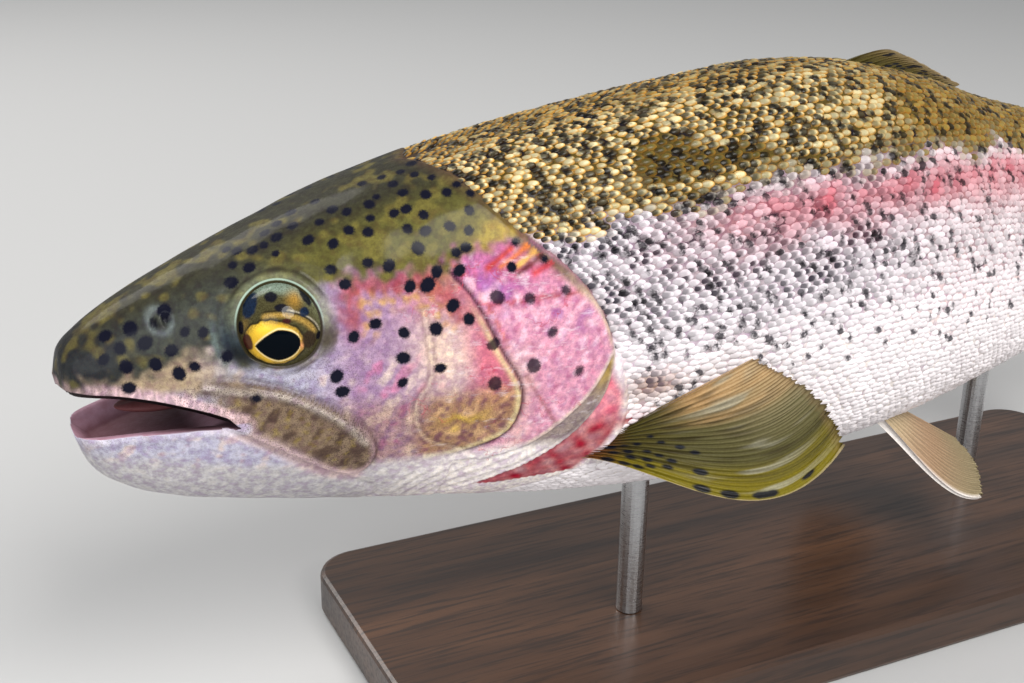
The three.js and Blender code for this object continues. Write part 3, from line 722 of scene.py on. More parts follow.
def paint_jaws(p, side):
    """The side of the head with its snout, the pale underside, the maxilla and the lips."""
    s, z, blotch, small, plate = p.s, p.z, p.blotch, p.small, p.plate
    dark = smoothstep(blotch + 0.5 * small - 0.02 * (z + 12), -0.2, 1.0)
    plate_tone = layered(
        MAXILLA_TONE,
        (tone(74, 56, 50), 0.85 * dark),
        (tone(152, 134, 62), 0.5 * smoothstep(small - 0.5 * blotch, 0.5, 1.6)),
        (tone(196, 168, 178), 0.6 * smoothstep(plate, -2.4, -0.5) * smoothstep(z, -9, -20)))
    free = smoothstep(s, 26, 38)
    ridge = line_gap(s, z, SUPRAMAXILLA)
    # painted shade and highlight: the upper lip lighter and darker in narrow stripes, standing for wrinkles
    # that the relief lacks
    wrinkle_shaded_lip = LIP * (1 + 0.3 * np.sin(3.4 * s + 1.5 * small))[..., None]
    upper_lip = smoothstep(line_gap(s, z, UPPER_LIP), 4.4, 2.8)
    lower_lip = smoothstep(line_gap(s, z, LOWER_LIP), 3.2, 1.4)
    return layered(
        side,
        (TAN, smoothstep(s, 44, 26) * smoothstep(z, -6, -2)),
        (blend(JAW_WHITE, BELLY_WHITE, smoothstep(s, 60, 100)), p.under),
        (plate_tone, smoothstep(plate, 0.3, -0.5) * free),
        # painted shade: a dark line in the groove under the maxilla's free edge
        (tone(70, 54, 44), 0.7 * bell(plate - 0.5, 0.5) * free),
        (tone(214, 190, 190), 0.85 * bell(line_gap(s, z, MAXILLA_LIP) - 0.6, 1.5)),
        (tone(96, 80, 74), 0.45 * bell(ridge - 1.3, 0.6)),
        (tone(232, 222, 214), 0.8 * bell(ridge, 0.75)),
        (tone(78, 62, 44), 0.6 * bell(plate + 2.2, 0.7) * bell(ridge, 3)),
        (wrinkle_shaded_lip, 0.85 * upper_lip * smoothstep(s, 46, 36) * (z > -14.5)),
        (tone(206, 204, 222), 0.8 * lower_lip * (z < -12) * (s < 42)))


def paint_crown(p):
    """Olive above, darker along the middle, partly as painted shade, with gold at its rear lower edge."""
    s, z, fine = p.s, p.z, p.fine
    return layered(
        SNOUT_OLIVE,
        (OLIVE, smoothstep(s, 34, 62)),
        # darker towards the top: partly the crown's own olive, partly painted shade
        (CROWN, smoothstep(steepness(p.turn), 46, 68)),
        (tone(30, 34, 42), 0.75 * smoothstep(s, 24, 10) * smoothstep(z, 15, 5)),
        (YELLOW, 0.75 * bell(p.edge - 2.5 + fine, 3) * bell(s - 104, 9)),
        (tone(132, 122, 58), 0.35 * smoothstep(fine + p.wobble, 0.4, 1.6)))


def paint_eye_rim(p, head):
    """The head with silver below the eye, olive grey behind it, its pale green rim, and the nostrils with
    painted shade and highlight.
    """
    s, z, gap = p.s, p.z, p.gap
    behind = smoothstep(s, EYE_S + 4, EYE_S + 10)
    before = smoothstep(s, EYE_S - 5, EYE_S - 9)
    fold = smoothstep(s, EYE_S + 4, EYE_S + 7.5) * bell(z - 7.5, 4)
    below = smoothstep(s, EYE_S - 2, EYE_S + 4) * smoothstep(z, 6, 2)
    between = np.hypot(s - NOSTRIL[0] - 1.2, z - NOSTRIL[1] - 0.4)
    return layered(
        head,
        (tone(134, 142, 112), (0.5 + 0.4 * behind) * bell(gap - 1.3, 1.2) * smoothstep(z, 1, 7)),
        (tone(36, 34, 26), 0.8 * bell(gap - 2.3 - 0.2 * p.wobble, 0.42) * smoothstep(z, 14, 19)),
        (tone(50, 62, 72), 0.95 * smoothstep(gap, 4.6, 2.8) * before * bell(z - 7.5, 5.5)),
        (tone(150, 176, 180), 0.25 * bell(gap - 4.9, 0.8) * before * bell(z - 7.5, 6)),
        (tone(18, 24, 28), 0.9 * smoothstep(gap, 3.6, 1.8) * before * bell(z - 5.5, 2.8)),
        (tone(64, 54, 40), 0.85 * smoothstep(gap + 0.3 * p.small, 4.0, 2.6) * fold),
        (tone(92, 84, 62), 0.75 * smoothstep(gap, 1.7, 0.8) * below),
        # a pale bluish ring round the nostrils is a painted highlight; the dark in the nostrils' pits is
        # painted shade
        (tone(140, 154, 158), 0.35 * bell(between - 2.4, 0.7) * (np.abs(np.cos(p.turn)) > 0.3)),
        *((INK, 0.9 * smoothstep(pit, 1.2, 0.7)) for pit in nostril_gaps(s, z)))


def paint(s, turn, y, z):
    """The skin's ground colour, before its spots, and how much fine dark speckle it carries."""
    p = Places(s, turn, y, z)
    side = blend(paint_cheek(p), paint_cover(p), smoothstep(p.front, -0.4, 0.6) * (s > 80))
    side = paint_jaws(p, paint_bones(p, side))
    soft = 2.4 + 1.0 * smoothstep(s, 60, 30)
    is_crown = smoothstep(p.edge + 1.1 * p.fine + 0.6 * p.wobble + 0.9 * p.small, -soft, soft)
    head = blend(side, paint_crown(p), is_crown)
    for start, end, streak in STREAKS:
        across, _ = line_distance(s, z, np.array([start, end]))
        head = blend(head, streak, 0.9 * bell(across + 0.15 * p.fine, 0.75) * (p.gill < -1))
    head = paint_eye_rim(p, head)

    scales_from = SCALE_START(steepness(turn))
    in_head = np.where(z > 27, smoothstep(s, scales_from + 2, scales_from - 5), smoothstep(p.gill, 1.0, -1.0))
    speckle = in_head * (0.9 * smoothstep(p.plate, 0.5, -0.5) + 0.7 * p.low * (s > 58) * (s < 104)
                         + 0.35 * smoothstep(s, 30, 8) + 0.25 + 0.75 * bell(z + 2, 7) * bell(s - 56, 16))
    return blend(paint_trunk(p), head, in_head), speckle * (1 - p.under)


# ------------------------------------------------------------------ meshes and materials
def mesh_object(name, points, faces, smooth=True):
    """A mesh object from arrays: points in metres, faces as an array of triangles or of quads."""
    faces = np.asarray(faces, np.int32)
    mesh = bpy.data.meshes.new(name)
    mesh.vertices.add(len(points))
    mesh.vertices.foreach_set("co", np.asarray(points, np.float32).ravel())
    mesh.loops.add(faces.size)
    mesh.loops.foreach_set("vertex_index", faces.ravel())
    mesh.polygons.add(len(faces))
    mesh.polygons.foreach_set("loop_start", np.arange(len(faces), dtype=np.int32) * faces.shape[1])
    mesh.update(calc_edges=True)
    if smooth:
        mesh.shade_smooth()
    thing = bpy.data.objects.new(name, mesh)
    bpy.context.scene.collection.objects.link(thing)
    return thing


def set_values(thing, **named):
    """Named numbers or colours for the points of a mesh."""
    for name, values in named.items():
        values = np.asarray(values, np.float32)
        if values.ndim == 2:
            layer = thing.data.attributes.new(name, "FLOAT_COLOR", "POINT")
            layer.data.foreach_set("color", np.column_stack([values, np.ones(len(values))]).ravel())
        else:
            layer = thing.data.attributes.new(name, "FLOAT", "POINT")
            layer.data.foreach_set("value", values)


def set_materials(thing, *names):
    """Gives a mesh its materials, by their names in MATERIALS."""
    for name in names:
        thing.data.materials.append(MATERIALS[name])


def set_kinds(thing, kinds):
    """The number of each face's material."""
    thing.data.polygons.foreach_set("material_index", np.asarray(kinds, np.int32))


def set_unwrap(thing, corners):
    """The OFBake map, given for each corner of each face."""
    layer = thing.data.uv_layers.new(name="OFBake")
    layer.data.foreach_set("uv", np.asarray(corners, np.float32).ravel())


class Nodes:
    """A material's node tree with short ways to add to it."""

    def __init__(self, name):
        self.material = bpy.data.materials.new(name)
        self.material.use_nodes = True
        self.tree = self.material.node_tree
        self.shader = self.tree.nodes["Principled BSDF"]

    def put(self, socket, value):
        if isinstance(value, bpy.types.NodeSocket):
            self.tree.links.new(value, socket)
        elif isinstance(value, (tuple, list, np.ndarray)) and len(socket.default_value) == 4:
            socket.default_value = (*value[:3], 1)
        else:
            socket.default_value = value

    def node(self, kind, inputs=(), **settings):
        made = self.tree.nodes.new("ShaderNode" + kind)
        for key, value in settings.items():
            setattr(made, key, value)
        for key, value in dict(inputs).items():
            self.put(made.inputs[key], value)
        return made

    def value(self, name):
        return self.node("Attribute", attribute_name=name).outputs["Fac"]

    def colour(self, name):
        return self.node("Attribute", attribute_name=name).outputs["Color"]

    def math(self, operation, a, b=0.0):
        return self.node("Math", {0: a, 1: b}, operation=operation).outputs[0]

    def ramp(self, value, low, high, to_low=0.0, to_high=1.0):
        inputs = {"Value": value, "From Min": low, "From Max": high, "To Min": to_low, "To Max": to_high}
        return self.node("MapRange", inputs).outputs[0]

    def times(self, a, b):
        return self.math("MULTIPLY", a, b)

    def apart(self, a, b):
        return self.math("ABSOLUTE", self.math("SUBTRACT", a, b))

    def ragged_spots(self, scale, detail):
        noise = self.noise(scale, detail, 0.6)
        return self.math("ADD", self.value("spot"), self.ramp(noise, 0.25, 0.75, -0.3, 0.3))

    def mottled(self, noise, depth, tint):
        return self.mix(self.ramp(noise, 0.3, 0.7, 0.0, depth), self.colour("ground"), tint, "MULTIPLY")

    def gloss(self, noise, smooth, rough):
        return self.ramp(noise, 0.2, 0.8, smooth, rough)

    def noise(self, scale, detail=2.0, roughness=0.5, stretch=(1, 1, 1)):
        place_at = self.node("TexCoord").outputs["Object"]
        mapped = self.node("Mapping", {"Vector": place_at, "Scale": stretch}).outputs[0]
        inputs = {"Vector": mapped, "Scale": scale, "Detail": detail, "Roughness": roughness}
        return self.node("TexNoise", inputs).outputs["Fac"]

    def mix(self, share, a, b, how="MIX"):
        made = self.node("Mix", data_type="RGBA", blend_type=how)
        self.put(made.inputs[0], share)
        self.put(made.inputs[6], a)
        self.put(made.inputs[7], b)
        return made.outputs[2]

    def finish(self, colour, roughness, bump=None, **sockets):
        self.put(self.shader.inputs["Base Color"], colour)
        self.put(self.shader.inputs["Roughness"], roughness)
        for key, value in sockets.items():
            self.put(self.shader.inputs[key.replace("_", " ")], value)
        if bump is not None:
            height, distance, strength = bump
            made = self.node("Bump", {"Height": height, "Distance": distance, "Strength": strength})
            self.put(self.shader.inputs["Normal"], made.outputs[0])
        return self.material


def skin_material():
    """Wet skin: the painted ground, mottling, veins, speckle, spots, painted shade at the eyeball's edge and
    a painted highlight along the eye's upper rim.
    """
    n = Nodes("wet_skin")
    mottle = n.noise(900, 4, 0.6)
    ground = n.mottled(mottle, 0.55, (0.5, 0.46, 0.42))
    sheen = n.noise(420, 4, 0.65)
    ground = n.mix(n.ramp(sheen, 0.45, 0.66, 0.0, 0.9), ground, (1.36, 1.3, 1.24), "MULTIPLY")
    ground = n.mix(n.ramp(sheen, 0.54, 0.36, 0.0, 0.8), ground, (0.84, 0.7, 0.86), "MULTIPLY")
    strokes = n.noise(230, 5, 0.7, (0.6, 1, 2.2))
    pale = n.times(n.ramp(strokes, 0.57, 0.68, 0.0, 0.35), n.value("veins"))
    ground = n.mix(pale, ground, (0.93, 0.86, 0.92))
    threads = n.apart(n.noise(70, 4, 0.6), 0.5)
    broken = n.times(n.ramp(n.noise(90, 2), 0.5, 0.6), n.value("veins"))
    ground = n.mix(n.times(n.ramp(threads, 0.008, 0.002, 0.0, 0.6), broken), ground, VEIN)
    grains = n.noise(3600, 2, 0.7)
    speckle = n.times(n.ramp(grains, 0.5, 0.66), n.value("speckle"))
    ground = n.mix(n.times(speckle, 0.6), ground, (0.05, 0.035, 0.025))
    # painted shade darkens the skin at the eyeball's edge; then a painted highlight runs as a thin pale line
    # along the upper rim
    ground = n.mix(n.ramp(n.value("lid"), 0.75, 0.35, 0.0, 0.9), ground, LID_CREVICE_SHADE)
    upper_rim_highlight = n.ramp(n.apart(n.value("lid"), 0.75), 0.32, 0.1)
    ground = n.mix(n.times(upper_rim_highlight, n.value("lid_share")), ground, LID_HIGHLIGHT)
    spots = n.times(n.ramp(n.ragged_spots(2400, 3), 0.34, -0.3), n.value("ink"))
    height = n.math("ADD", n.noise(700, 3, 0.5), n.times(grains, 0.25))
    return n.finish(n.mix(spots, ground, INK), n.gloss(mottle, 0.34, 0.5), (height, 0.0004, 0.4),
                    Coat_Weight=0.12, Coat_Roughness=0.12, Specular_IOR_Level=0.04)


def scale_material():
    """Scales: a painted dome fading to a darker rim, with spots like the skin's, and a soft metal gleam."""
    n = Nodes("fish_scales")
    mottle = n.noise(1100, 3, 0.6)
    ground = n.mottled(mottle, 0.15, (0.6, 0.55, 0.5))
    spots = n.times(n.ramp(n.ragged_spots(1300, 2), 0.34, -0.2), n.value("ink"))
    colour = n.mix(spots, ground, (0.014, 0.012, 0.022), "MULTIPLY")
    return n.finish(colour, n.gloss(mottle, 0.26, 0.4), (n.noise(2200, 2), 0.0002, 0.25),
                    Metallic=0.03, Coat_Weight=0.14, Coat_Roughness=0.18, Specular_IOR_Level=0.1)


def flesh_material():
    """Wet flesh of the mouth and tongue."""
    n = Nodes("wet_flesh")
    mottle = n.noise(420, 4, 0.6)
    colour = n.mottled(mottle, 0.5, (0.6, 0.42, 0.4))
    return n.finish(colour, n.gloss(mottle, 0.35, 0.5), (n.noise(1200, 3), 0.0003, 0.3),
                    Coat_Weight=0.04, Coat_Roughness=0.1, Specular_IOR_Level=0.06)


def fin_material():
    """Fins: rays and the skin between them as painted, with fine grain across."""
    n = Nodes("fin_rays")
    mottle = n.noise(1500, 3, 0.6)
    ground = n.mottled(mottle, 0.45, (0.6, 0.55, 0.45))
    spots = n.times(n.ramp(n.value("spot"), 0.25, -0.25), n.value("ink"))
    colour = n.mix(spots, ground, tone(12, 16, 30))
    return n.finish(colour, n.gloss(mottle, 0.3, 0.45), (n.noise(1800, 2), 0.0002, 0.3),
                    Coat_Weight=0.14, Coat_Roughness=0.15, Specular_IOR_Level=0.1)


def eye_material():
    """The eye's painted ball under a clear, glossy coat."""
    n = Nodes("eye")
    grain = n.noise(2600, 3, 0.7)
    glint = n.times(n.ramp(grain, 0.42, 0.62), n.value("grain"))
    colour = n.mix(n.times(glint, 0.6), n.colour("ground"), (0.2, 0.16, 0.1), "MULTIPLY")
    return n.finish(colour, 0.16, (grain, 0.0001, 0.1),
                    Coat_Weight=0.25, Coat_Roughness=0.03, Specular_IOR_Level=0.03)


def pupil_material():
    """The pupil: black depth under a thin gloss."""
    n = Nodes("pupil")
    return n.finish(n.colour("ground"), 0.12, Coat_Weight=0.1, Coat_Roughness=0.03, Specular_IOR_Level=0.0)


def wood_material():
    """Dark walnut with long grain, under satin varnish."""
    n = Nodes("walnut")
    rings = n.noise(42, 5, 0.6, (0.12, 1.6, 1.6))
    pores = n.noise(700, 3, 0.6, (0.05, 1, 1))
    colour = n.mix(n.ramp(rings, 0.3, 0.7), (0.085, 0.038, 0.018), (0.022, 0.0095, 0.005))
    colour = n.mix(n.ramp(pores, 0.5, 0.62, 0.0, 0.7), colour, (0.012, 0.006, 0.004))
    return n.finish(colour, n.ramp(pores, 0.3, 0.7, 0.32, 0.45), (pores, 0.0002, 0.25),
                    Coat_Weight=0.25, Coat_Roughness=0.2)


def steel_material():
    """Steel rod, brushed round."""
    n = Nodes("brushed_steel")
    lines = n.noise(900, 3, 0.7, (0.3, 0.3, 6))
    colour = n.mix(n.ramp(lines, 0.3, 0.7), (0.42, 0.42, 0.43), (0.6, 0.6, 0.61))
    return n.finish(colour, n.ramp(lines, 0.3, 0.7, 0.22, 0.38), (lines, 0.0001, 0.15), Metallic=1.0)


# ------------------------------------------------------------------ the skin
HEAD_ROW = 0.5                  # spacing of the skin's rows over the head
TRUNK_ROW = 3.0                 # and over the trunk
SNOUT_ROWS = 13
SNOUT_END = 2.0                 # closer rows at the blunt snout reach so far back
SKIN_COLUMNS = 440
HEAD_END = 138
LIP_ROUND = 1.0                 # how far the lips' edges curl open
MOUTH_LEVEL = -11.0             # the level at which the lips' reach sideways is read
MOUTH_STATIONS = 90
MOUTH_ROWS = 111
PROFILE_POINTS = 60
MATERIALS = {"skin": skin_material(), "scales": scale_material(), "flesh": flesh_material(),
             "fin": fin_material(), "eye": eye_material(), "pupil": pupil_material()}


def skin_rows():
    """Distances behind the snout of the skin's rings, closest together at the blunt snout."""
    nose = SNOUT_END * (np.arange(1, SNOUT_ROWS + 1) / SNOUT_ROWS) ** 2
    head = np.arange(SNOUT_END + HEAD_ROW, HEAD_END, HEAD_ROW)
    return np.concatenate([nose, head, np.arange(HEAD_END, BODY_LENGTH - 1, TRUNK_ROW), [BODY_LENGTH]])


def closed_tube(rows, columns):
    """Triangles of a tube of rings, closed at both ends by one point each: first point, rings, last point."""
    k = np.arange(columns)
    after = (k + 1) % columns
    first = 1 + np.arange(rows - 1)[:, None] * columns
    a = (first + k).ravel()
    b = (first + after).ravel()
    c = (first + columns + after).ravel()
    d = (first + columns + k).ravel()
    last = 1 + (rows - 1) * columns
    tip = 1 + rows * columns
    start = joined(np.zeros(columns, int), 1 + k, 1 + after)
    end = joined(last + k, np.full(columns, tip), last + after)
    return np.vstack([start, joined(a, d, c), joined(a, c, b), end])


def straight_skin():
    """The whole skin with its relief, straight, as an object in millimetres."""
    rows = skin_rows()
    s, turn = pairs(rows, circle(SKIN_COLUMNS) - math.pi / 2)
    lift = relief(s, turn) * smoothstep(s, 0, 2.5)
    y, z = section(s, turn, lift)
    points = np.vstack([[(0.02, 0, widest(0.0))], joined(s, y, z), [(BODY_LENGTH + 0.3, 0, 0)]])
    return mesh_object("trout_skin", points, closed_tube(len(rows), SKIN_COLUMNS))


def lip_profile(s):
    """(z, y) of the left side's section at s below its widest level, z rising."""
    turn = np.radians(np.linspace(-89, 0, PROFILE_POINTS))
    y, z = section(np.full(PROFILE_POINTS, float(s)), turn)
    return z, -y


def mouth_cutter():
    """The open mouth as a solid, straight, in millimetres: a slot between the lips that widens inside."""
    upper = curve(UPPER_LIP)
    lower = curve(LOWER_LIP)
    s = np.linspace(MOUTH_FRONT, MOUTH_CORNER, MOUTH_STATIONS)
    across = np.linspace(-1, 1, MOUTH_ROWS)
    lip_out = np.array([np.interp(MOUTH_LEVEL, *lip_profile(max(x, 0.5))) for x in s])
    rings = []
    for share in across:
        y = share * np.maximum(1.5 * lip_out, half_width(np.maximum(s, 2.5)) + 2.5)
        depth = np.minimum(lip_out - np.abs(y), s - 0.4)
        inset = np.clip(LIP_ROUND - depth, 0, LIP_ROUND)
        curled = LIP_ROUND - np.sqrt(np.maximum(LIP_ROUND ** 2 - inset ** 2, 0))
        curled = np.where(depth < 0, LIP_ROUND + 0.7 * np.minimum(-depth, 0.8), curled)
        curled = curled * smoothstep(s, MOUTH_CORNER, MOUTH_CORNER - 3)
        vault = smoothstep(depth, 1.5, 7) * smoothstep(s, MOUTH_CORNER, MOUTH_CORNER - 10)
        top = upper(s) + curled + 3.0 * vault
        bottom = np.minimum(lower(s) - curled - 4.0 * vault, top - 0.2)
        rings.append(np.vstack([joined(s, y, top), joined(s, y, bottom)[::-1]]))
    points = np.vstack([[rings[0].mean(0)], *rings, [rings[-1].mean(0)]])
    return mesh_object("mouth_cutter", points, closed_tube(len(across), 2 * len(s)))


def face_outwards(thing):
    """Turns a closed mesh inside out if its volume comes out negative."""
    mesh = thing.data
    corners = np.zeros(len(mesh.loops), np.int32)
    mesh.loops.foreach_get("vertex_index", corners)
    points = np.zeros(len(mesh.vertices) * 3, np.float32)
    mesh.vertices.foreach_get("co", points)
    a, b, c = points.reshape(-1, 3)[corners.reshape(-1, 3)].transpose(1, 0, 2).astype(float)
    if np.einsum("ij,ij->i", a, np.cross(b, c)).sum() < 0:
        mesh.flip_normals()


def cut(thing, tool):
    """Takes the tool's solid out of thing's, and removes the tool. Faces keep their material's number."""
    for solid in (thing, tool):
        face_outwards(solid)
    modifier = thing.modifiers.new("mouth", "BOOLEAN")
    modifier.operation = "DIFFERENCE"
    modifier.solver = "MANIFOLD"
    modifier.object = tool
    graph = bpy.context.evaluated_depsgraph_get()
    made = bpy.data.meshes.new_from_object(thing.evaluated_get(graph))
    thing.modifiers.clear()
    thing.data = made
    bpy.data.objects.remove(tool)


def arrays_of(thing):
    """(points, triangles, material numbers) of a mesh, triangulated first."""
    mesh = thing.data
    points = np.zeros(len(mesh.vertices) * 3, np.float32)
    mesh.vertices.foreach_get("co", points)
    mesh.calc_loop_triangles()
    count = len(mesh.loop_triangles)
    faces = np.zeros(count * 3, np.int32)
    mesh.loop_triangles.foreach_get("vertices", faces)
    kinds = np.zeros(count, np.int32)
    mesh.loop_triangles.foreach_get("material_index", kinds)
    return points.reshape(-1, 3).astype(float), faces.reshape(-1, 3), kinds


def turns_of(points):
    """The turn, from -90 to 270 degrees, of points near the straight body's surface."""
    s, y, z = points.T
    middle = widest(s)
    above = z > middle
    height = np.where(above, back(s) - middle, middle - belly(s))
    across = -y / np.maximum(half_width(s), 0.5)
    up = (z - middle) / np.maximum(height, 0.5)
    turn = np.arctan2(up, across)
    return np.where(turn < -math.pi / 2, turn + 2 * math.pi, turn)


def flat_corners(points, faces, turn):
    """OFBake corners for the skin's outer faces, without stretching a face over the belly's seam."""
    corner_turn = turn[faces]
    across_seam = corner_turn.max(1) - corner_turn.min(1) > math.pi
    low = corner_turn < math.pi / 2
    corner_turn = np.where(across_seam[:, None] & low, 1.5 * math.pi, corner_turn)
    s = points[faces][..., 0]
    return unwrap(s.ravel(), corner_turn.ravel()).reshape(*faces.shape, 2)


MOUTH_SCALE = 2                 # the mouth's inside is unwrapped so much larger than the skin
MOUTH_U = 0.05
ROOF_V = 0.08
FLOOR_V = 0.92


def mouth_corners(points, faces):
    """OFBake corners for the mouth's inner faces: roof and floor each lie flat beside the skin's unwrap."""
    corners = points[faces]
    normal_z = np.cross(corners[:, 1] - corners[:, 0], corners[:, 2] - corners[:, 0])[:, 2]
    roof = (normal_z < 0)[:, None]
    u = MOUTH_U + corners[..., 0] * MOUTH_SCALE * UNWRAP
    v = np.where(roof, ROOF_V, FLOOR_V) + corners[..., 1] * MOUTH_SCALE * UNWRAP
    return joined(u, v)


def make_skin():
    """The one skin of the head, jaws, gill covers, trunk and tail stalk."""
    skin = straight_skin()
    set_materials(skin, "skin", "flesh")
    cutter = mouth_cutter()
    set_materials(cutter, "skin", "flesh")
    set_kinds(cutter, np.ones(len(cutter.data.polygons)))
    cut(skin, cutter)
    points, faces, kinds = arrays_of(skin)
    bpy.data.objects.remove(skin)
    turn = turns_of(points)
    s, y, z = points.T
    inside = np.zeros(len(points), bool)
    inside[faces[kinds == 1]] = True
    inside[faces[kinds == 0]] = False
    ground, speckle = paint(s, turn, y, z)
    # painted shade: the mouth's inside darkens towards its roof and further in
    throat = blend(MOUTH_PINK, MOUTH_SHADE, smoothstep(z, -15, -10) * 0.9 + 0.6 * smoothstep(s, 8, 30))
    inner_lip = smoothstep(line_gap(s, z, LOWER_LIP), 5.0, 1.2) * smoothstep(z, -13, -14.5)
    throat = blend(throat, tone(196, 156, 174), 0.85 * inner_lip)
    # painted shade: the skin under the scales is darkened, more so higher up, where it shows in the gaps
    # between them
    scale_gap_shade = smoothstep(s - SCALE_START(rise(turn)), 0.5, 2.5)
    ground = ground * (1 - scale_gap_shade * (0.1 + 0.4 * smoothstep(z, -14, 14)))[:, None]
    spot, ink = marks(points, turn)
    flushed = (s < 132) & (z > -34) & (z < 30) & ~inside
    veins = smoothstep(s, 66, 92) * flushed * smoothstep(outline_distance(s, z, HEAD_SIDE), 0, -2)

    made = mesh_object("trout_skin", place(points), faces)
    set_materials(made, "skin", "flesh")
    set_kinds(made, kinds)
    set_values(made,
               ground=np.where(inside[:, None], throat, ground),
               speckle=np.where(inside, 0, speckle),
               spot=np.where(inside, FAR, spot),
               ink=ink,
               lid=np.where(inside | (s > 80), FAR, eye_gap(s, y, z)),
               # how much of the painted highlight along the eye's rim shows: only over its upper side
               lid_share=0.8 * smoothstep(z, 9, 17),
               veins=veins * smoothstep(z, OLIVE_EDGE(s) + 1, OLIVE_EDGE(s) - 4))
    set_unwrap(made, np.where((kinds == 1)[:, None, None], mouth_corners(points, faces),
                              flat_corners(points, faces, turn)))
    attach(made, "root")
    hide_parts("head", "lower_jaw", "maxilla_left", "maxilla_right", "gill_cover_left",
                "gill_cover_right", "trunk_front", "trunk_rear", "tail_stalk")


MARK_SEEDS = {True: 31, False: 47}      # by whether it is the left side
MARK_INK = 0.92
HEAD_SPOTS_END = 126
EYE_CLEAR = 0.6                 # no mark comes nearer to the eyeball than this


def marks(points, turn):
    """Spots of head, back and flank for points of the surface: distance to the border, and ink."""
    s, y, z = points.T
    left, half_turn = folded(turn)
    edge = np.full(len(points), FAR)
    ink = np.ones(len(points))
    start = SCALE_START(np.degrees(half_turn))
    head = (s < HEAD_SPOTS_END) & (s < start + 4)
    edge[head], ink[head] = spots_near(points[head], left[head])
    for side, seed in MARK_SEEDS.items():
        mine = (s > start) & (left == side)
        found = body_marks(s[mine], arc_at(s[mine], half_turn[mine]), seed)
        edge[mine] = np.minimum(edge[mine], found)
        ink[mine] = MARK_INK
    edge[eye_gap(s, y, z) < EYE_CLEAR] = FAR
    return edge, ink


# ------------------------------------------------------------------ scales
# how far apart the scales stand along the body, and how far apart their rows are
SCALE_PITCH = curve([(80, 2.3), (120, 2.6), (175, 3.2), (260, 3.2), (380, 2.6), (480, 2.1)])
SCALE_ROW = curve([(80, 1.4), (120, 1.5), (175, 1.85), (260, 1.85), (380, 1.45), (480, 1.15)])
SCALE_LENGTH = 1.3              # of the pitch
SCALE_WIDTH = 1.36              # of the row spacing
RINGS = ((0.5, 0.55, 8), (0.84, 0.3, 12), (1.0, -0.12, 12))    # reach, height in mm and points
PATCH = 0.003                   # across, in the unwrap
FIRST_SCALE = 84.0
LAST_SCALE = BODY_LENGTH - 6
HALF_ROWS = 80                  # rows of the lattice above and below the widest level
SCALE_STRAY = (0.13, 0.12)      # how far scales stray along the body and round it, in pitches and rows
SCALE_SIZES = (0.84, 1.12)
SCALE_HEIGHTS = (0.7, 1.15)
SCALE_TILT = (0.24, 0.07, 0.1)  # the rise towards the rear in mm, how much it varies, and the lean aside
SCALE_TAPER = 0.16             # how much a scale narrows towards its rear
FIN_GAP = (124, 134, -46, -30)  # no scales at the pectoral fin's root: from s, to s, from turn, to turn


def scale_template():
    """One scale's points as (along, aside, height, reach), and its triangles. It is a domed shield."""
    points = [(0.05, 0.0, 0.62, 0.0)]
    for ring, height, count in RINGS:
        for k in range(count):
            angle = 2 * math.pi * (k + 0.5) / count
            points.append((ring * math.cos(angle), ring * math.sin(angle), height, ring))
    counts = [count for _, _, count in RINGS]
    faces = [(0, 1 + k, 1 + (k + 1) % counts[0]) for k in range(counts[0])]
    first = 1
    for inner, outer in zip(counts, counts[1:]):
        faces += ring_faces(first, inner, first + inner, outer)
        first += inner
    return np.array(points), np.array(faces)


def ring_faces(inner, inner_count, outer, outer_count):
    """Triangles between two rings of points with the same centre."""
    faces = []
    i = j = 0
    while i < inner_count or j < outer_count:
        a = inner + i % inner_count
        b = outer + j % outer_count
        if j < outer_count and (j + 1) / outer_count <= (i + 1) / inner_count or i >= inner_count:
            faces.append((a, b, outer + (j + 1) % outer_count))
            j += 1
        else:
            faces.append((a, b, inner + (i + 1) % inner_count))
            i += 1
    return faces


def scale_roots(side_seed):
    """(s, arc) of each scale of one side, on a staggered lattice that starts behind the gill cover."""
    rng = np.random.default_rng(side_seed)
    half_steps = [FIRST_SCALE]
    while half_steps[-1] < LAST_SCALE:
        half_steps.append(half_steps[-1] + SCALE_PITCH(half_steps[-1]) / 2)
    places = []
    for row in range(-HALF_ROWS, HALF_ROWS + 1):
        s = np.array(half_steps[row % 2::2])
        s = s + rng.normal(0, SCALE_STRAY[0], len(s)) * SCALE_PITCH(s)
        arc = (row + rng.normal(0, SCALE_STRAY[1], len(s))) * SCALE_ROW(s)
        places.append(joined(s, arc))
    places = np.vstack(places)
    s, arc = places.T
    turn = np.degrees(turn_at(s, arc))
    keep = (arc < arc_to(s, math.pi / 2) - 0.3) & (arc > arc_to(s, -math.pi / 2) + 0.3)
    keep &= (s < LAST_SCALE) & (s > SCALE_START(turn) + 0.1)
    low_s, high_s, low_turn, high_turn = FIN_GAP
    return places[keep & ~((s > low_s) & (s < high_s) & (turn < high_turn) & (turn > low_turn))]


# on the gold back each scale runs from a pale middle to a darker orange rim: the back's own gold with a
# painted highlight on each dome
GOLD_DOME = tone(255, 246, 196)
GOLD_EDGE = tone(216, 158, 64)
GOLD_DARK = tone(16, 11, 2)
OLIVE_DOME = tone(146, 120, 28)
OLIVE_PATCH = tone(84, 78, 14)
FLANK_DOME = tone(250, 243, 247)
FLANK_DARK = tone(18, 14, 34)
LOW_DARK = tone(150, 122, 132)
# the olive patches of the gold back: their middles in s and in degrees, their reaches, how ragged they are
OLIVE_PATCHES = [(147, 48, 9, 9.5, 0.15), (162, 45, 15, 4.5, 0.2)]


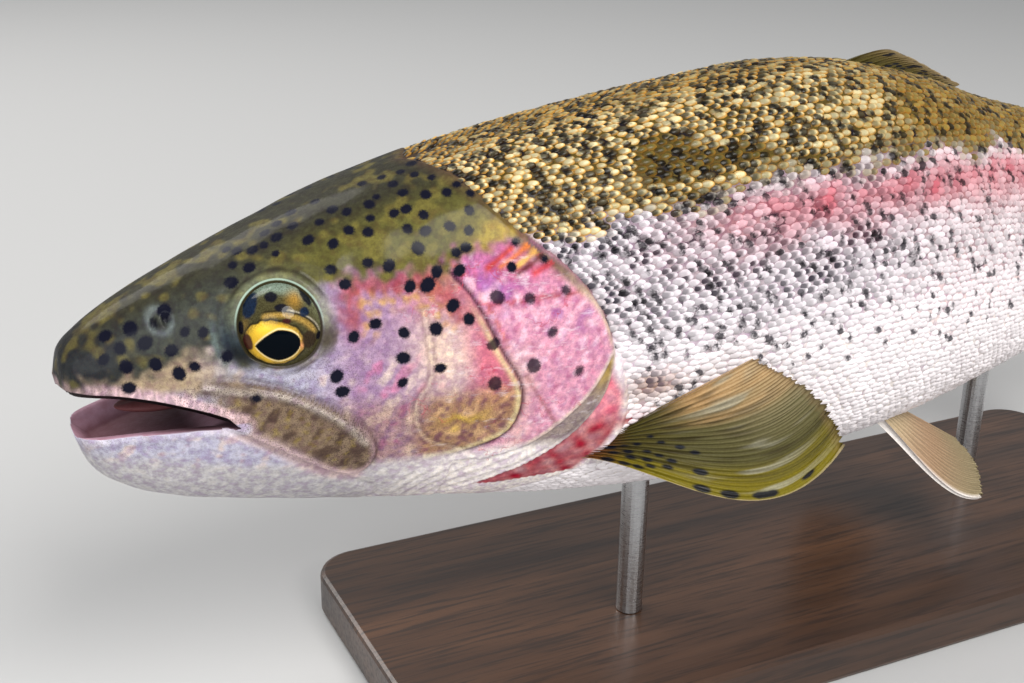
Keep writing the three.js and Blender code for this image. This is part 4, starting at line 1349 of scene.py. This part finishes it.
def paint_scales(s, turn, y, z, draw):
    """Each scale's colours: dome, edge, and the dark crescent in front (part pigment, part painted shade)
    with its strength.
    """
    ground, _ = paint(s, turn, y, z)
    where = joined(s, y, z)
    degrees = steepness(turn) * np.sign(z - widest(s))
    patchy = waves(where, 14, 21)
    level = z + 2.0 * patchy + 4.5 * (draw[0] - 0.5)
    is_back = smoothstep(level, OLIVE_EDGE(s) - 1.5, OLIVE_EDGE(s) + 1.5)
    ridge = smoothstep(degrees, 66, 84)
    rearward = smoothstep(s + 10 * patchy + 24 * (draw[0] - 0.5), 184, 246)
    gold = blend(GOLD_DOME, OLIVE_DOME, np.maximum(0.7 * ridge, 0.9 * rearward))
    gold = blend(gold, OLIVE_DOME, 0.45 * smoothstep(draw[0], 0.75, 0.95))
    patch = np.minimum(*(np.hypot((s - middle_s) / long, (degrees - middle_turn) / high) + ragged * patchy
                         for middle_s, middle_turn, long, high, ragged in OLIVE_PATCHES))
    gold = blend(gold, OLIVE_PATCH, 0.95 * smoothstep(patch, 1.2, 0.8))
    rim = bell(level - OLIVE_EDGE(s) - 1.0, 2.6) * smoothstep(s, 132, 150)
    stripe = stripe_share(s, z, where)
    brown = brown_patch(s, z)
    dome = blend(blend(ground, FLANK_DOME, 0.8 * (1 - stripe) * (1 - 0.9 * brown)), gold, is_back)
    dome = blend(dome, tone(138, 132, 98), 0.75 * rim)
    dome = blend(dome, tone(150, 132, 78), 0.85 * tail_fade(s, z, where))
    # the dark crescent's tone: partly the scales' dark pigment, partly painted shade in the hollow where each
    # scale slips under the one in front
    dark = blend(LOW_DARK, FLANK_DARK, smoothstep(z, -32, -6))
    dark = blend(blend(dark, tone(104, 44, 56), 0.8 * stripe), GOLD_DARK, is_back)
    edge = blend(dome, ground * 0.8, 0.15 + 0.25 * smoothstep(z, -10, 14))
    edge = blend(edge, GOLD_EDGE * (0.3 + 0.7 * (dome / GOLD_DOME)), is_back)
    strength = (0.2 + 0.8 * smoothstep(z, -14, 12)) * smoothstep(z, -46, -34)
    strength *= (1 - 0.5 * smoothstep(s, 185, 250)) * (1 - 0.3 * stripe)
    lit = smoothstep(s, 112, 130) + smoothstep(s, 145, 180)
    strength = np.maximum(strength, np.maximum(is_back * (0.9 - 0.25 * lit), brown))
    strength *= 0.4 + 0.6 * smoothstep(draw[1], 0.1, 0.6)
    strength *= 0.9 + 0.2 * patchy
    shy = 0.1 + 0.4 * is_back
    glow = 1.05 - shy * (1 - draw[0]) ** 2 + 0.06 * waves(where, 9, 27)
    return dome * glow[:, None], edge * glow[:, None], dark, np.clip(strength, 0, 0.96)


def make_coat(name, roots, side):
    """One piece of the coat: scales at the given (s, arc) places on one side of the body."""
    rng = np.random.default_rng(len(name) + len(roots))
    template, faces = scale_template()
    ahead, aside, rise_up, reach = template.T
    count = len(roots)
    root_s, root_arc = roots.T
    size = rng.uniform(*SCALE_SIZES, count)
    tall = rng.uniform(*SCALE_HEIGHTS, count)
    lean = rng.normal(0, 1, (2, count, 1))
    along = ahead * 0.5 * SCALE_LENGTH * (SCALE_PITCH(root_s) * size)[:, None]
    across = aside * 0.5 * SCALE_WIDTH * (SCALE_ROW(root_s) * size)[:, None] * (1 - SCALE_TAPER * ahead)
    tilt = (SCALE_TILT[0] + SCALE_TILT[1] * lean[0]) * ahead + SCALE_TILT[2] * lean[1] * aside
    s = (root_s[:, None] + along).ravel()
    arc = (root_arc[:, None] + across).ravel()
    height = (-COAT_DEPTH - SKIN_DEPTH + (rise_up + tilt) * tall[:, None]).ravel()
    over_top = arc - arc_to(s, math.pi / 2)
    past_back = math.pi - turn_at(s, arc - 2 * np.maximum(over_top, 0))
    y, z = section(s, np.where(over_top > 0, past_back, turn_at(s, arc)), height)
    all_faces = (faces[None] + (np.arange(count) * len(template))[:, None, None]).reshape(-1, 3)
    if side < 0:
        all_faces = all_faces[:, ::-1]

    root_turn = turn_at(root_s, root_arc)
    root_y, root_z = section(root_s, root_turn)
    own_turn = root_turn if side > 0 else math.pi - root_turn
    draw = rng.uniform(size=(2, count))
    dome, edge, dark, strength = paint_scales(root_s, own_turn, root_y * side, root_z, draw)
    # each scale's tone runs from its dome out to its edge; on the gold back the pale middle is partly a
    # painted highlight
    outer = smoothstep(reach, 0.3, 0.95)[None, :, None]
    # the crescent darkens the front of each scale, partly as its pigment and partly as painted shade under
    # the scale before it
    crescent = smoothstep(-ahead, -0.55, 0.02) * smoothstep(np.abs(aside), 1.0, 0.6)
    front = crescent[None, :, None] * strength[:, None, None]
    ground = dome[:, None] + (edge - dome)[:, None] * outer
    ground = (ground + (dark[:, None] - ground) * front).reshape(-1, 3)
    seed = MARK_SEEDS[side > 0]
    marks_at_root = np.repeat(body_marks(root_s, root_arc, seed), len(template))
    coat = mesh_object(name, place(joined(s, y * side, z)), all_faces)
    set_materials(coat, "scales")
    set_values(coat,
               ground=ground,
               spot=0.7 * body_marks(s, arc, seed) + 0.3 * marks_at_root,
               # spots are paler over each scale's middle: a painted highlight over the marks
               ink=0.84 + 0.14 * np.tile(reach, count))
    middle = np.repeat(unwrap(root_s, own_turn), len(template), axis=0)
    local = np.tile(template[:, :2], (count, 1)) * 0.5 * PATCH
    set_unwrap(coat, (middle + local)[all_faces])
    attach(coat, "root")


# each band's name, where it lies on the arc from the widest level, and its slot
COAT_BANDS = [("upper", 24, 200, "skin_body"),
              ("middle", -14, 24, "skin_body"),
              ("lower", -200, -14, "skin_belly")]
COAT_SEEDS = {"left": 71, "right": 72}
SIDES = ((1, "left"), (-1, "right"))


def make_coats():
    """The coat in three bands on each side, split by height along the skin from the widest level."""
    for side, word in SIDES:
        roots = scale_roots(COAT_SEEDS[word])
        roots = roots[np.argsort(roots[:, 0])]
        for height, low, high, slot in COAT_BANDS:
            band = roots[(roots[:, 1] > low) & (roots[:, 1] <= high)]
            make_coat(f"scales_{height}_{word}", band, side)


# ------------------------------------------------------------------ fins
def grid_faces(rows, columns, start=0, flip=False):
    """Quads of a grid of points, as triangles."""
    i, j = pairs(np.arange(rows - 1), np.arange(columns - 1))
    a = start + i * columns + j
    b = a + columns
    quads = np.vstack([joined(a, b, b + 1), joined(a, b + 1, a + 1)])
    return quads[:, ::-1] if flip else quads


def fin_surface(root, tip, bend, t, r, reach):
    """A fin's middle surface at (t, r): t runs from the leading ray to the last, r out to the tip."""
    a = root(t)
    b = tip(t)
    far = (r * reach)[:, None]
    return a + (b - a) * far + bend(t) * (6.75 * r * r * (1 - r))[:, None]


def fin_rays(count, r):
    """How high the rays stand, 0 to 1: each splits in two and in four towards the tip."""
    split = smoothstep(r, 0.30, 0.62)
    fine = smoothstep(r, 0.62, 0.9)
    whole, halves, quarters = (0.5 + 0.5 * np.cos(parts * math.pi * count) for parts in (2, 4, 8))
    return whole * (1 - split) + halves * split * (1 - fine) + quarters * fine


def blade_faces(columns, steps):
    """Triangles of a closed blade: both faces, and a band along each of the four rims."""
    total = columns * steps
    faces = [grid_faces(columns, steps), grid_faces(columns, steps, total, True)]
    first = np.arange(steps)
    sides = np.arange(columns) * steps
    rims = ((first, True), (total - steps + first, False), (sides, False), (sides + steps - 1, True))
    for rim, flip in rims:
        a, b = rim[:-1], rim[1:]
        band = np.vstack([joined(a, b, b + total), joined(a, b + total, a + total)])
        faces.append(band[:, ::-1] if flip else band)
    return np.vstack(faces)


def make_fin(name, node, surface, rays, thick, paint_fin, steps=56, seed=0):
    """A rayed fin that replaces a node: a thin closed blade with split rays standing off both faces."""
    rng = np.random.default_rng(seed)
    columns = rays * POINTS_PER_RAY + 1
    t, r = pairs(np.linspace(0, 1, columns), np.linspace(0, 1, steps))
    ridge = fin_rays(t * rays, r)
    nicks = rays * NICKS_PER_RAY + 1
    ragged = np.interp(t, np.linspace(0, 1, nicks), rng.uniform(0, 1, nicks))
    reach = 1 - NICK_DEPTH * ragged * r ** 3 - VALLEY_DEPTH * (1 - ridge) * r ** 8
    middle = fin_surface(*surface, t, r, reach)
    grid = middle.reshape(columns, steps, 3)
    across, along = (np.gradient(grid, axis=axis).reshape(-1, 3) for axis in (0, 1))
    normal = np.cross(across, along)
    normal /= np.linalg.norm(normal, axis=1)[:, None] + 1e-12
    wave = FIN_WAVE * np.sin(math.pi * rays * t + 1.0) * r * (1 - 0.3 * r)
    middle = middle + normal * wave[:, None]
    half = 0.5 * (thick[0] + (thick[1] - thick[0]) * r ** 0.7) * (FIN_GROOVE + (1 - FIN_GROOVE) * ridge)
    points = np.vstack([middle + normal * half[:, None], middle - normal * half[:, None]])
    ground, spot, ink = paint_fin(np.tile(t, 2), np.tile(r, 2), np.tile(ridge, 2))
    fin = mesh_object(name, place(points), blade_faces(columns, steps))
    set_materials(fin, "fin")
    face_outwards(fin)
    set_values(fin, ground=ground, spot=spot, ink=np.full(len(points), ink))
    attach(fin, "root")
    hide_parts(node)


def mixed(a, b):
    """A function of t that runs from point a to point b."""
    a, b = np.array(a, float), np.array(b, float)
    return lambda t: a + (b - a) * t[:, None]


def paired_fin(lead, last, tip_lead, tip_last, spread, bend_lead, side):
    """(root, tip, bend) of a paired fin; side -1 mirrors it."""
    flip = np.array([1, side, 1])

    def root(t):
        return mixed(lead, last)(t) * flip

    def tip(t):
        found = mixed(tip_lead, tip_last)(t)
        found[:, 0] += spread * np.sin(math.pi * t)
        return found * flip

    def bend(t):
        return np.array(bend_lead) * flip * (1 - t)[:, None]

    return root, tip, bend


POINTS_PER_RAY = 16
NICKS_PER_RAY = 4
NICK_DEPTH = 0.030              # how deep the tip's edge is nicked, of a ray's length
VALLEY_DEPTH = 0.012            # and how far it draws in between the rays
FIN_WAVE = 0.25
FIN_GROOVE = 0.42               # the blade's thickness between rays, of its thickness at them
FIN_OLIVE = tone(80, 72, 30)
FIN_TAN = tone(186, 148, 100)
FIN_LEAD = tone(118, 106, 18)
FIN_DARK = tone(46, 38, 16)
FIN_PALE = tone(206, 190, 156)


def spots_on_fin(t, r, places, width, length):
    """The distance to the nearest of some spots (t, r, radius in mm) on a fin of the given size."""
    edge = np.full(len(t), FAR)
    for spot_t, spot_r, radius in places:
        span = width[0] + (width[1] - width[0]) * spot_r
        distance = np.hypot((t - spot_t) * span * 1.15, (r - spot_r) * length * 0.6) - radius
        edge = np.minimum(edge, distance)
    return edge


# (t, r, radius in mm) of each spot
PECTORAL_SPOTS = [
    (0.05, 0.13, 1.0), (0.05, 0.19, 0.8), (0.06, 0.24, 0.8), (0.04, 0.47, 1.2), (0.04, 0.57, 1.3),
    (0.04, 0.68, 1.1), (0.04, 0.72, 1.1), (0.05, 0.87, 1.0), (0.35, 0.1, 0.9), (0.22, 0.13, 0.8),
    (0.28, 0.18, 0.8), (0.18, 0.2, 0.8), (0.2, 0.26, 0.8), (0.33, 0.25, 0.7), (0.17, 0.34, 0.8),
    (0.26, 0.35, 0.8), (0.2, 0.46, 1.1), (0.45, 0.2, 0.7), (0.5, 0.3, 0.7), (0.45, 0.38, 0.8),
    (0.4, 0.44, 0.8), (0.6, 0.25, 0.6), (0.4, 0.15, 0.7), (0.12, 0.28, 0.7), (0.3, 0.3, 0.7)]


def paint_pectoral(t, r, ridge):
    """Yellow-olive in front, grey-green in the middle and tan behind, with dark skin between pale rays."""
    where = joined(t * 60, r * 9)
    band = waves(where, 9, 33)
    fine = waves(where * (1, 1.6), 4, 34)
    rays = (0.3 + 0.3 * smoothstep(fine, -0.8, 0.8)) * smoothstep(t, 0.03, 0.2)
    ground = layered(
        tone(86, 82, 46),
        (FIN_TAN, smoothstep(t + 0.06 * band, 0.58, 0.92) * smoothstep(r, 0.2, 0.6)),
        (FIN_LEAD, 0.95 * smoothstep(t + 0.04 * band, 0.36, 0.12)),
        (FIN_OLIVE, 0.7 * smoothstep(r, 0.55, 0.2) * smoothstep(t, 0.15, 0.35)),
        (tone(104, 34, 36), 0.75 * smoothstep(r + 0.1 * t, 0.24, 0.06)),
        (FIN_DARK, 0.6 * smoothstep(band + 0.5 * fine, 0.3, 1.2) * smoothstep(t, 0.14, 0.3)
         * smoothstep(r, 1.05, 0.75)),
        # painted highlight: pale grey patches about two thirds of the way out along the rays
        (tone(178, 176, 158), 0.6 * smoothstep(band - 0.4 * fine, -0.5, -1.2) * bell(r - 0.68, 0.22)),
        (FIN_DARK, rays * (1 - ridge)),
        (FIN_PALE, 0.3 * ridge * smoothstep(r, 0.4, 0.9) * smoothstep(t, 0.3, 0.7)),
        (tone(120, 96, 70), 0.4 * smoothstep(r, 0.96, 0.99)),
        (FIN_PALE, 0.6 * smoothstep(t, 0.012, 0.0)))
    return ground, spots_on_fin(t, r, PECTORAL_SPOTS, (12, 44), 62), 0.95


def paint_plain(t, r, ridge):
    """Pale olive with a white leading edge, for the fins of the belly."""
    ground = layered(
        FIN_PALE,
        (FIN_OLIVE, 0.55 * smoothstep(r, 0.05, 0.6)),
        (tone(214, 150, 128), 0.3 * bell(r - 0.5, 0.3)),
        (FIN_DARK, 0.4 * (1 - ridge) * smoothstep(t, 0.03, 0.12)),
        (BELLY_WHITE, 0.9 * smoothstep(t, 0.06, 0.01)))
    return ground, np.full(len(t), FAR), 0.9


def scattered(seed, count, low=(0.04, 0.08), high=(0.96, 0.95), radius=(1.1, 1.7)):
    """Seeded spots (t, r, radius) kept apart from each other."""
    rng = np.random.default_rng(seed)
    found = []
    while len(found) < count:
        place_at = rng.uniform(low, high)
        if all(np.hypot(*((place_at - f[:2]) * (1.0, 0.8))) > 0.055 for f in found):
            found.append((*place_at, rng.uniform(*radius)))
    return found


def paint_spotted(width, length, places):
    """A painter for the spotted fins of the back and tail."""

    def painter(t, r, ridge):
        ground = layered(
            FIN_OLIVE,
            (FIN_TAN, 0.35 * smoothstep(r, 0.3, 1)),
            (FIN_DARK, 0.5 * (1 - ridge)),
            (FIN_PALE, 0.3 * ridge * smoothstep(r, 0.4, 0.9)))
        return ground, spots_on_fin(t, r, places, width, length), 0.95

    return painter


def rounded(t):
    """How much of its length a ray keeps towards the fin's leading and last corners."""
    return 1 - 0.16 * (1 - t) ** 8 - 0.12 * t ** 8


PECTORAL = ([124, -24, -36.5], [134, -28.5, -29.5], [181, -60, -31], [163, -45, -8], 6, [-1, -5, -12])
PELVIC = ([242, -12, -53], [256, -7, -55], [279, -35, -84], [293, -13, -73], 5, [-3, -2, -4])
FIN_ROOT = 3.0                  # how deep in the body the fins of the middle line begin
ADIPOSE_SPOTS = [(0.3, 0.5, 1.4), (0.7, 0.6, 1.2), (0.2, 0.85, 1.0)]


def middle_fin(s0, s1, level, angles, lengths, wave):
    """(root, tip, bend) of a fin on the middle line."""

    def root(t):
        s = s0 + (s1 - s0) * t
        return joined(s, np.zeros(len(t)), level(s))

    def tip(t):
        found = root(t)
        angle = np.radians(angles[0] + (angles[1] - angles[0]) * t)
        length = (lengths[0] + (lengths[1] - lengths[0]) * t ** 0.8) * rounded(t)
        found[:, 0] += length * np.cos(angle)
        found[:, 1] = wave * np.sin(math.pi * t)
        found[:, 2] += length * np.sin(angle)
        return found

    return root, tip, lambda t: np.zeros((len(t), 3))


def dorsal_fin():
    """(root, tip, bend) of the dorsal fin, folded back along the fish as a low crest."""
    s0, s1 = 218, 276

    def root(t):
        s = s0 + (s1 - s0) * t
        return joined(s, np.zeros(len(t)), back(s) - FIN_ROOT)

    def tip(t):
        s = s0 + (s1 - s0) * t + (50 - 36 * t ** 0.8) * rounded(t)
        return joined(s, 4 * (1 - 0.5 * t), back(s) + 4 - 2.5 * t)

    return root, tip, lambda t: np.array([0, 0, 2.8]) * (1 - t)[:, None]


def tail_fin():
    """(root, tip, bend) of the tail fin, with its shallow fork."""

    def root(t):
        return joined(np.full(len(t), 468.0), np.zeros(len(t)), 23 * (1 - 2 * t))

    def tip(t):
        u = np.abs(1 - 2 * t)
        return joined(538 + 20 * u ** 1.5 - 6 * u ** 14, -6 * (0.3 + 0.7 * u ** 2), 61 * (1 - 2 * t))

    return root, tip, lambda t: np.array([0, 0, 3.0]) * (1 - 2 * t)[:, None]


def make_fins():
    """The pectoral and pelvic fins of both sides, then the dorsal, adipose, anal and tail fins."""
    for side, word in SIDES:
        make_fin("pectoral_" + word, "pectoral_fin_" + word, paired_fin(*PECTORAL, side), 12, (3.2, 0.7),
                 paint_pectoral, seed=3)
        make_fin("pelvic_" + word, "pelvic_fin_" + word, paired_fin(*PELVIC, side), 9, (3.2, 0.7),
                 paint_plain, steps=44, seed=4)
    adipose = middle_fin(385, 397, lambda s: back(s) - FIN_ROOT, (36, 20), (24, 13), 0)
    anal = middle_fin(350, 394, lambda s: belly(s) + FIN_ROOT, (-50, -30), (57, 26), 3)
    make_fin("dorsal", "dorsal_fin", dorsal_fin(), 11, (3.4, 0.7),
             paint_spotted((58, 40), 45, scattered(8, 34)), steps=44, seed=5)
    make_fin("adipose", "adipose_fin", adipose, 4, (3.0, 0.8),
             paint_spotted((12, 14), 22, ADIPOSE_SPOTS), steps=36, seed=6)
    make_fin("anal", "anal_fin", anal, 11, (3.4, 0.7), paint_plain, steps=48, seed=7)
    make_fin("tail", "tail_fin", tail_fin(), 18, (5.0, 0.8),
             paint_spotted((46, 122), 78, scattered(9, 90)), steps=64, seed=8)


# ------------------------------------------------------------------ eyes and tongue
GAZE = np.array([-0.42, -0.88, -0.10])
EYE_RINGS = 110
EYE_SIDES = 220
EYE_CAP = math.radians(112)
EYE_INSET = 0.2                 # how far the eyeball's surface lies inside its solid
PUPIL = tone(2, 7, 14)
IRIS_GOLD = tone(222, 176, 48)
IRIS_BRIGHT = tone(255, 212, 70)
IRIS_RIM = tone(240, 220, 168)
IRIS_BROWN = tone(74, 70, 44)
IRIS_ORANGE = tone(186, 140, 56)
IRIS_BLUE = tone(14, 34, 62)
IRIS_MAROON = tone(62, 24, 26)
# where each lies forward and up of the gaze, its half width and half height, its lean, and its tone
BLOTCHES = [
    (7.3, 9.0, 1.9, 2.9, 0.0, IRIS_BLUE),
    (1.4, 11.8, 1.5, 1.2, 0.0, INK),
    (-1.8, 9.1, 1.4, 0.8, 0.0, INK),
    (-7.9, 7.9, 1.1, 1.0, 0.0, IRIS_BLUE),
    (-8.7, 12.2, 1.0, 2.7, 0.5, INK),
    (6.3, -0.4, 1.2, 1.7, 0.1, IRIS_MAROON),
    (-9.0, 0.4, 1.6, 2.0, 0.3, tone(50, 36, 20)),
    (8.8, 2.6, 0.9, 1.4, 0.2, INK),
    (9.4, -2.2, 1.0, 1.4, 0.0, INK),
    (-12.0, 0.5, 0.8, 1.0, 0.0, INK),
    (-3.2, 5.9, 0.9, 0.5, 0.0, IRIS_MAROON),
]
PUPIL_REACH = 5.4               # from the pupil's middle to its rear, and to its point in front
PUPIL_HEIGHT = 4.1


def pupil_edge(forward, up):
    """The distance to the pupil's edge, negative inside: round behind, drawn to a point in front."""
    side = forward + 1.15
    narrowing = np.clip(1 - side / PUPIL_REACH, 0, 2)
    half_height = PUPIL_HEIGHT * np.sqrt(np.maximum(1 - (side / PUPIL_REACH) ** 2, 0))
    half_height *= np.where(side > 0, narrowing ** 0.4, 1)
    edge = np.abs(up + 0.25 + 0.1 * side) - half_height
    return np.where(np.abs(side) < PUPIL_REACH, edge, 3.0 + np.abs(side) - PUPIL_REACH)


def paint_eye(forward, up):
    """The eye's colour and grain, with a painted reflection over its top, at mm along the ball forward and up
    from where it gazes.
    """
    ball = joined(forward, up)
    fold = np.hypot((forward + 1.4) / 10.2, up / 7.9)
    behind = smoothstep(forward, 3.6, 2.2) * smoothstep(up, 1.0, 3.0)
    ring = np.hypot((forward + 0.1) / 7.3, (up - 0.15) / 5.75) + 0.02 * waves(ball, 3.0, 14)
    gold = layered(
        IRIS_GOLD,
        (tone(168, 134, 56), smoothstep(ring, 0.78, 1.0)),
        (IRIS_BRIGHT, 0.9 * bell(np.hypot(forward - 2.6, (up - 4.0) * 1.5), 2.6)),
        (tone(226, 150, 110), 0.7 * bell(np.hypot(forward + 6.8, up + 0.5), 1.2)))
    ground = layered(
        IRIS_BROWN,
        (tone(112, 114, 84), smoothstep(np.hypot(forward, up), 11, 15)),
        # a painted reflection: pale grey green over the upper part of the ball
        (tone(132, 152, 140), 0.75 * smoothstep(np.hypot(0.7 * forward, up), 11.5, 14.5) * (up > 0)),
        (IRIS_ORANGE, 0.75 * bell(np.hypot((forward + 5.2) / 1.1, (up - 11.6) / 1.3), 1.9)),
        (tone(150, 120, 60), 0.5 * bell(np.hypot(forward - 7.4, (up - 3.5) / 2), 1.2)),
        # a thin fold over the gold: a granular gold band, a dark line and a pale line
        (tone(186, 150, 74), 0.85 * bell(fold - 0.93, 0.085) * behind),
        (tone(22, 16, 10), 0.9 * bell(fold - 1.05, 0.03) * behind),
        (tone(190, 182, 160), 0.8 * bell(fold - 1.1, 0.025) * smoothstep(forward, -1, -4) * behind),
        # the gold ring and its dark border
        (gold, smoothstep(ring, 1.03, 0.99)),
        (tone(30, 22, 12), 0.8 * bell(ring - 1.05, 0.04)))
    for centre_forward, centre_up, wide, tall, lean, colour in BLOTCHES:
        away = joined(forward - centre_forward, up - centre_up)
        across = (away @ (math.cos(lean), -math.sin(lean))) / wide
        along = (away @ (math.sin(lean), math.cos(lean))) / tall
        share = 0.88 * np.hypot(across, along) + 0.06 * waves(ball, 1.6, 15)
        ground = blend(ground, colour, 0.95 * smoothstep(share, 1.3, 0.9))
    pupil = pupil_edge(forward, up)
    ground = layered(
        ground,
        (IRIS_RIM, 0.9 * bell(pupil - 0.25, 0.26)),
        (PUPIL, smoothstep(pupil, 0.12, -0.12)))
    return ground, np.where(pupil < 0, 0, smoothstep(ring, 0.75, 1.0) * 0.8 + 0.2)


def make_eye(word, side):
    """One eyeball, looking out and forward, with its pear-shaped pupil and patterned iris."""
    gaze = GAZE * (1, side, 1)
    gaze = gaze / np.linalg.norm(gaze)
    ahead = np.array([-1.0, 0, 0])
    ahead -= gaze * (ahead @ gaze)
    ahead /= np.linalg.norm(ahead)
    upward = np.cross(gaze, ahead)
    upward *= np.sign(upward[2])
    a, b = pairs(np.linspace(0, 1, EYE_RINGS + 1)[1:] * EYE_CAP, circle(EYE_SIDES))
    a = np.concatenate([[0], a])
    b = np.concatenate([[0], b])
    radius = EYE_RADIUS - EYE_INSET
    centre = np.array([EYE_S, -side * EYE_OUT, EYE_LEVEL])
    points = centre + radius * (np.cos(a)[:, None] * gaze + np.sin(a)[:, None]
                                * (np.cos(b)[:, None] * ahead + np.sin(b)[:, None] * upward))
    points = np.vstack([points, [centre - gaze * radius * 0.6]])
    ground, grain = paint_eye(a * np.cos(b) * EYE_RADIUS, a * np.sin(b) * EYE_RADIUS)
    eye = mesh_object("eyeball_" + word, place(points), closed_tube(EYE_RINGS, EYE_SIDES))
    face_outwards(eye)
    set_materials(eye, "eye", "pupil")
    _, faces, _ = arrays_of(eye)
    set_kinds(eye, np.append(grain, 1)[faces].max(1) == 0)
    set_values(eye, ground=np.vstack([ground, [IRIS_BROWN]]), grain=np.append(grain, 0))
    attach(eye, "root")
    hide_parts("eye_" + word)


TONGUE_START = 13
TONGUE_LENGTH = 22
TONGUE_LEVEL = -11.9


def make_tongue():
    """The tongue on the floor of the mouth: blunt, flat, with a groove along its middle."""
    rows, columns = 60, 48
    a, b = pairs(np.linspace(0, 1, rows + 2)[1:-1], circle(columns))
    taper = np.sin(math.pi * a) ** 0.55
    s = TONGUE_START + TONGUE_LENGTH * a
    y = 5.2 * taper * np.cos(b)
    z = TONGUE_LEVEL + 1.9 * taper * np.sin(b) - 0.5 * bell(y, 1.2) * (np.sin(b) > 0) * taper
    points = np.vstack([[(TONGUE_START, 0, TONGUE_LEVEL)], joined(s, y, z),
                        [(TONGUE_START + TONGUE_LENGTH, 0, TONGUE_LEVEL)]])
    tongue = mesh_object("tongue_flesh", place(points), closed_tube(rows, columns))
    face_outwards(tongue)
    set_materials(tongue, "flesh")
    set_values(tongue, ground=np.broadcast_to(tone(126, 78, 80), points.shape))
    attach(tongue, "root")
    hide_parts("tongue")


# ------------------------------------------------------------------ stand, stage, lamps and camera
def dress_stand():
    """The stand's own nodes stay, with walnut and brushed steel."""
    finishes = {"stand_base": wood_material(), "stand_rod_front": steel_material()}
    finishes["stand_rod_rear"] = finishes["stand_rod_front"]
    for node, material in finishes.items():
        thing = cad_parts[node]
        thing.data.materials.clear()
        thing.data.materials.append(material)


FLOOR_REACH = 30.0              # the floor, the ramp of its shade and the sky, in metres
FLOOR_SHADE = (2.0, 7.0)
FLOOR_GREYS = ((0.5, 0.5, 0.5), (0.98, 0.98, 0.98))
SKY = (0.96, 0.98, 1.0)
SKY_STRENGTH = 0.4


def make_stage():
    """A plain floor, grey near the stand and pale further away, under a pale sky."""
    corners = [(x * FLOOR_REACH, y * FLOOR_REACH, 0) for x, y in ((-1, -1), (1, -1), (1, 1), (-1, 1))]
    floor = mesh_object("floor", np.array(corners), [[0, 1, 2, 3]], smooth=False)
    n = Nodes("pale_floor")
    away = n.node("VectorMath", {0: n.node("TexCoord").outputs["Object"]}, operation="LENGTH")
    shade = n.mix(n.ramp(away.outputs["Value"], *FLOOR_SHADE), *FLOOR_GREYS)
    floor.data.materials.append(n.finish(shade, 0.9, Specular_IOR_Level=0.1))

    world = bpy.data.worlds.new("studio")
    world.use_nodes = True
    bpy.context.scene.world = world
    background = world.node_tree.nodes["Background"]
    background.inputs["Color"].default_value = (*SKY, 1)
    background.inputs["Strength"].default_value = SKY_STRENGTH


# name, place from the fish's middle and size in metres, power in watts, colour
LAMPS = [("key", (0.1, -1.2, 1.2), 0.9, 28.5, (1.0, 0.98, 0.95)),
         ("fill", (-1.05, -1.05, 0.6), 1.0, 8.0, (0.95, 0.98, 1.0)),
         ("far", (-0.6, 1.0, 1.1), 1.0, 15.0, (1.0, 0.98, 0.95))]


def make_lamps():
    """Soft area lamps: a key over the left side, a fill from the front and one for the right side."""
    middle = Vector((0, 0, AXIS_Z * MM))
    for name, position, size, power, colour in LAMPS:
        lamp = bpy.data.lights.new(name, "AREA")
        lamp.shape = "DISK"
        lamp.size = size
        lamp.energy = power
        lamp.color = colour
        thing = bpy.data.objects.new(name, lamp)
        thing.location = middle + Vector(position)
        thing.rotation_euler = (-Vector(position)).to_track_quat("-Z", "Y").to_euler()
        bpy.context.scene.collection.objects.link(thing)


CAMERA_AIM = (118, 0, -12)      # in the straight fish's axes
CAMERA_AZIMUTH = -26
CAMERA_ELEVATION = 22
CAMERA_DISTANCE = 375
CAMERA_ROLL = 1
CAMERA_LENS = 49.2
SENSOR_WIDTH = 36


def make_camera():
    """The camera looks down on the head from the front left."""
    camera = bpy.data.cameras.new("camera")
    camera.lens = CAMERA_LENS
    camera.sensor_width = SENSOR_WIDTH
    camera.clip_start = 0.01
    thing = bpy.data.objects.new("camera", camera)
    azimuth = math.radians(CAMERA_AZIMUTH)
    elevation = math.radians(CAMERA_ELEVATION)
    away = Vector((math.sin(azimuth) * math.cos(elevation), -math.cos(azimuth) * math.cos(elevation),
                   math.sin(elevation)))
    right = (-away).cross(Vector((0, 0, 1))).normalized()
    up = right.cross(-away)
    roll = math.radians(CAMERA_ROLL)
    right, up = right * math.cos(roll) + up * math.sin(roll), up * math.cos(roll) - right * math.sin(roll)
    aim = Vector(place([CAMERA_AIM])[0])
    turned = Matrix((right, up, away)).transposed().to_4x4()
    turned.translation = aim + away * CAMERA_DISTANCE * MM
    thing.matrix_world = turned
    bpy.context.scene.collection.objects.link(thing)
    bpy.context.scene.camera = thing


make_camera()
make_stage()
make_lamps()
make_skin()
for eye_side, eye_word in SIDES:
    make_eye(eye_word, eye_side)
make_tongue()
make_fins()
make_coats()
dress_stand()

bpy.context.scene.view_settings.view_transform = "Standard"
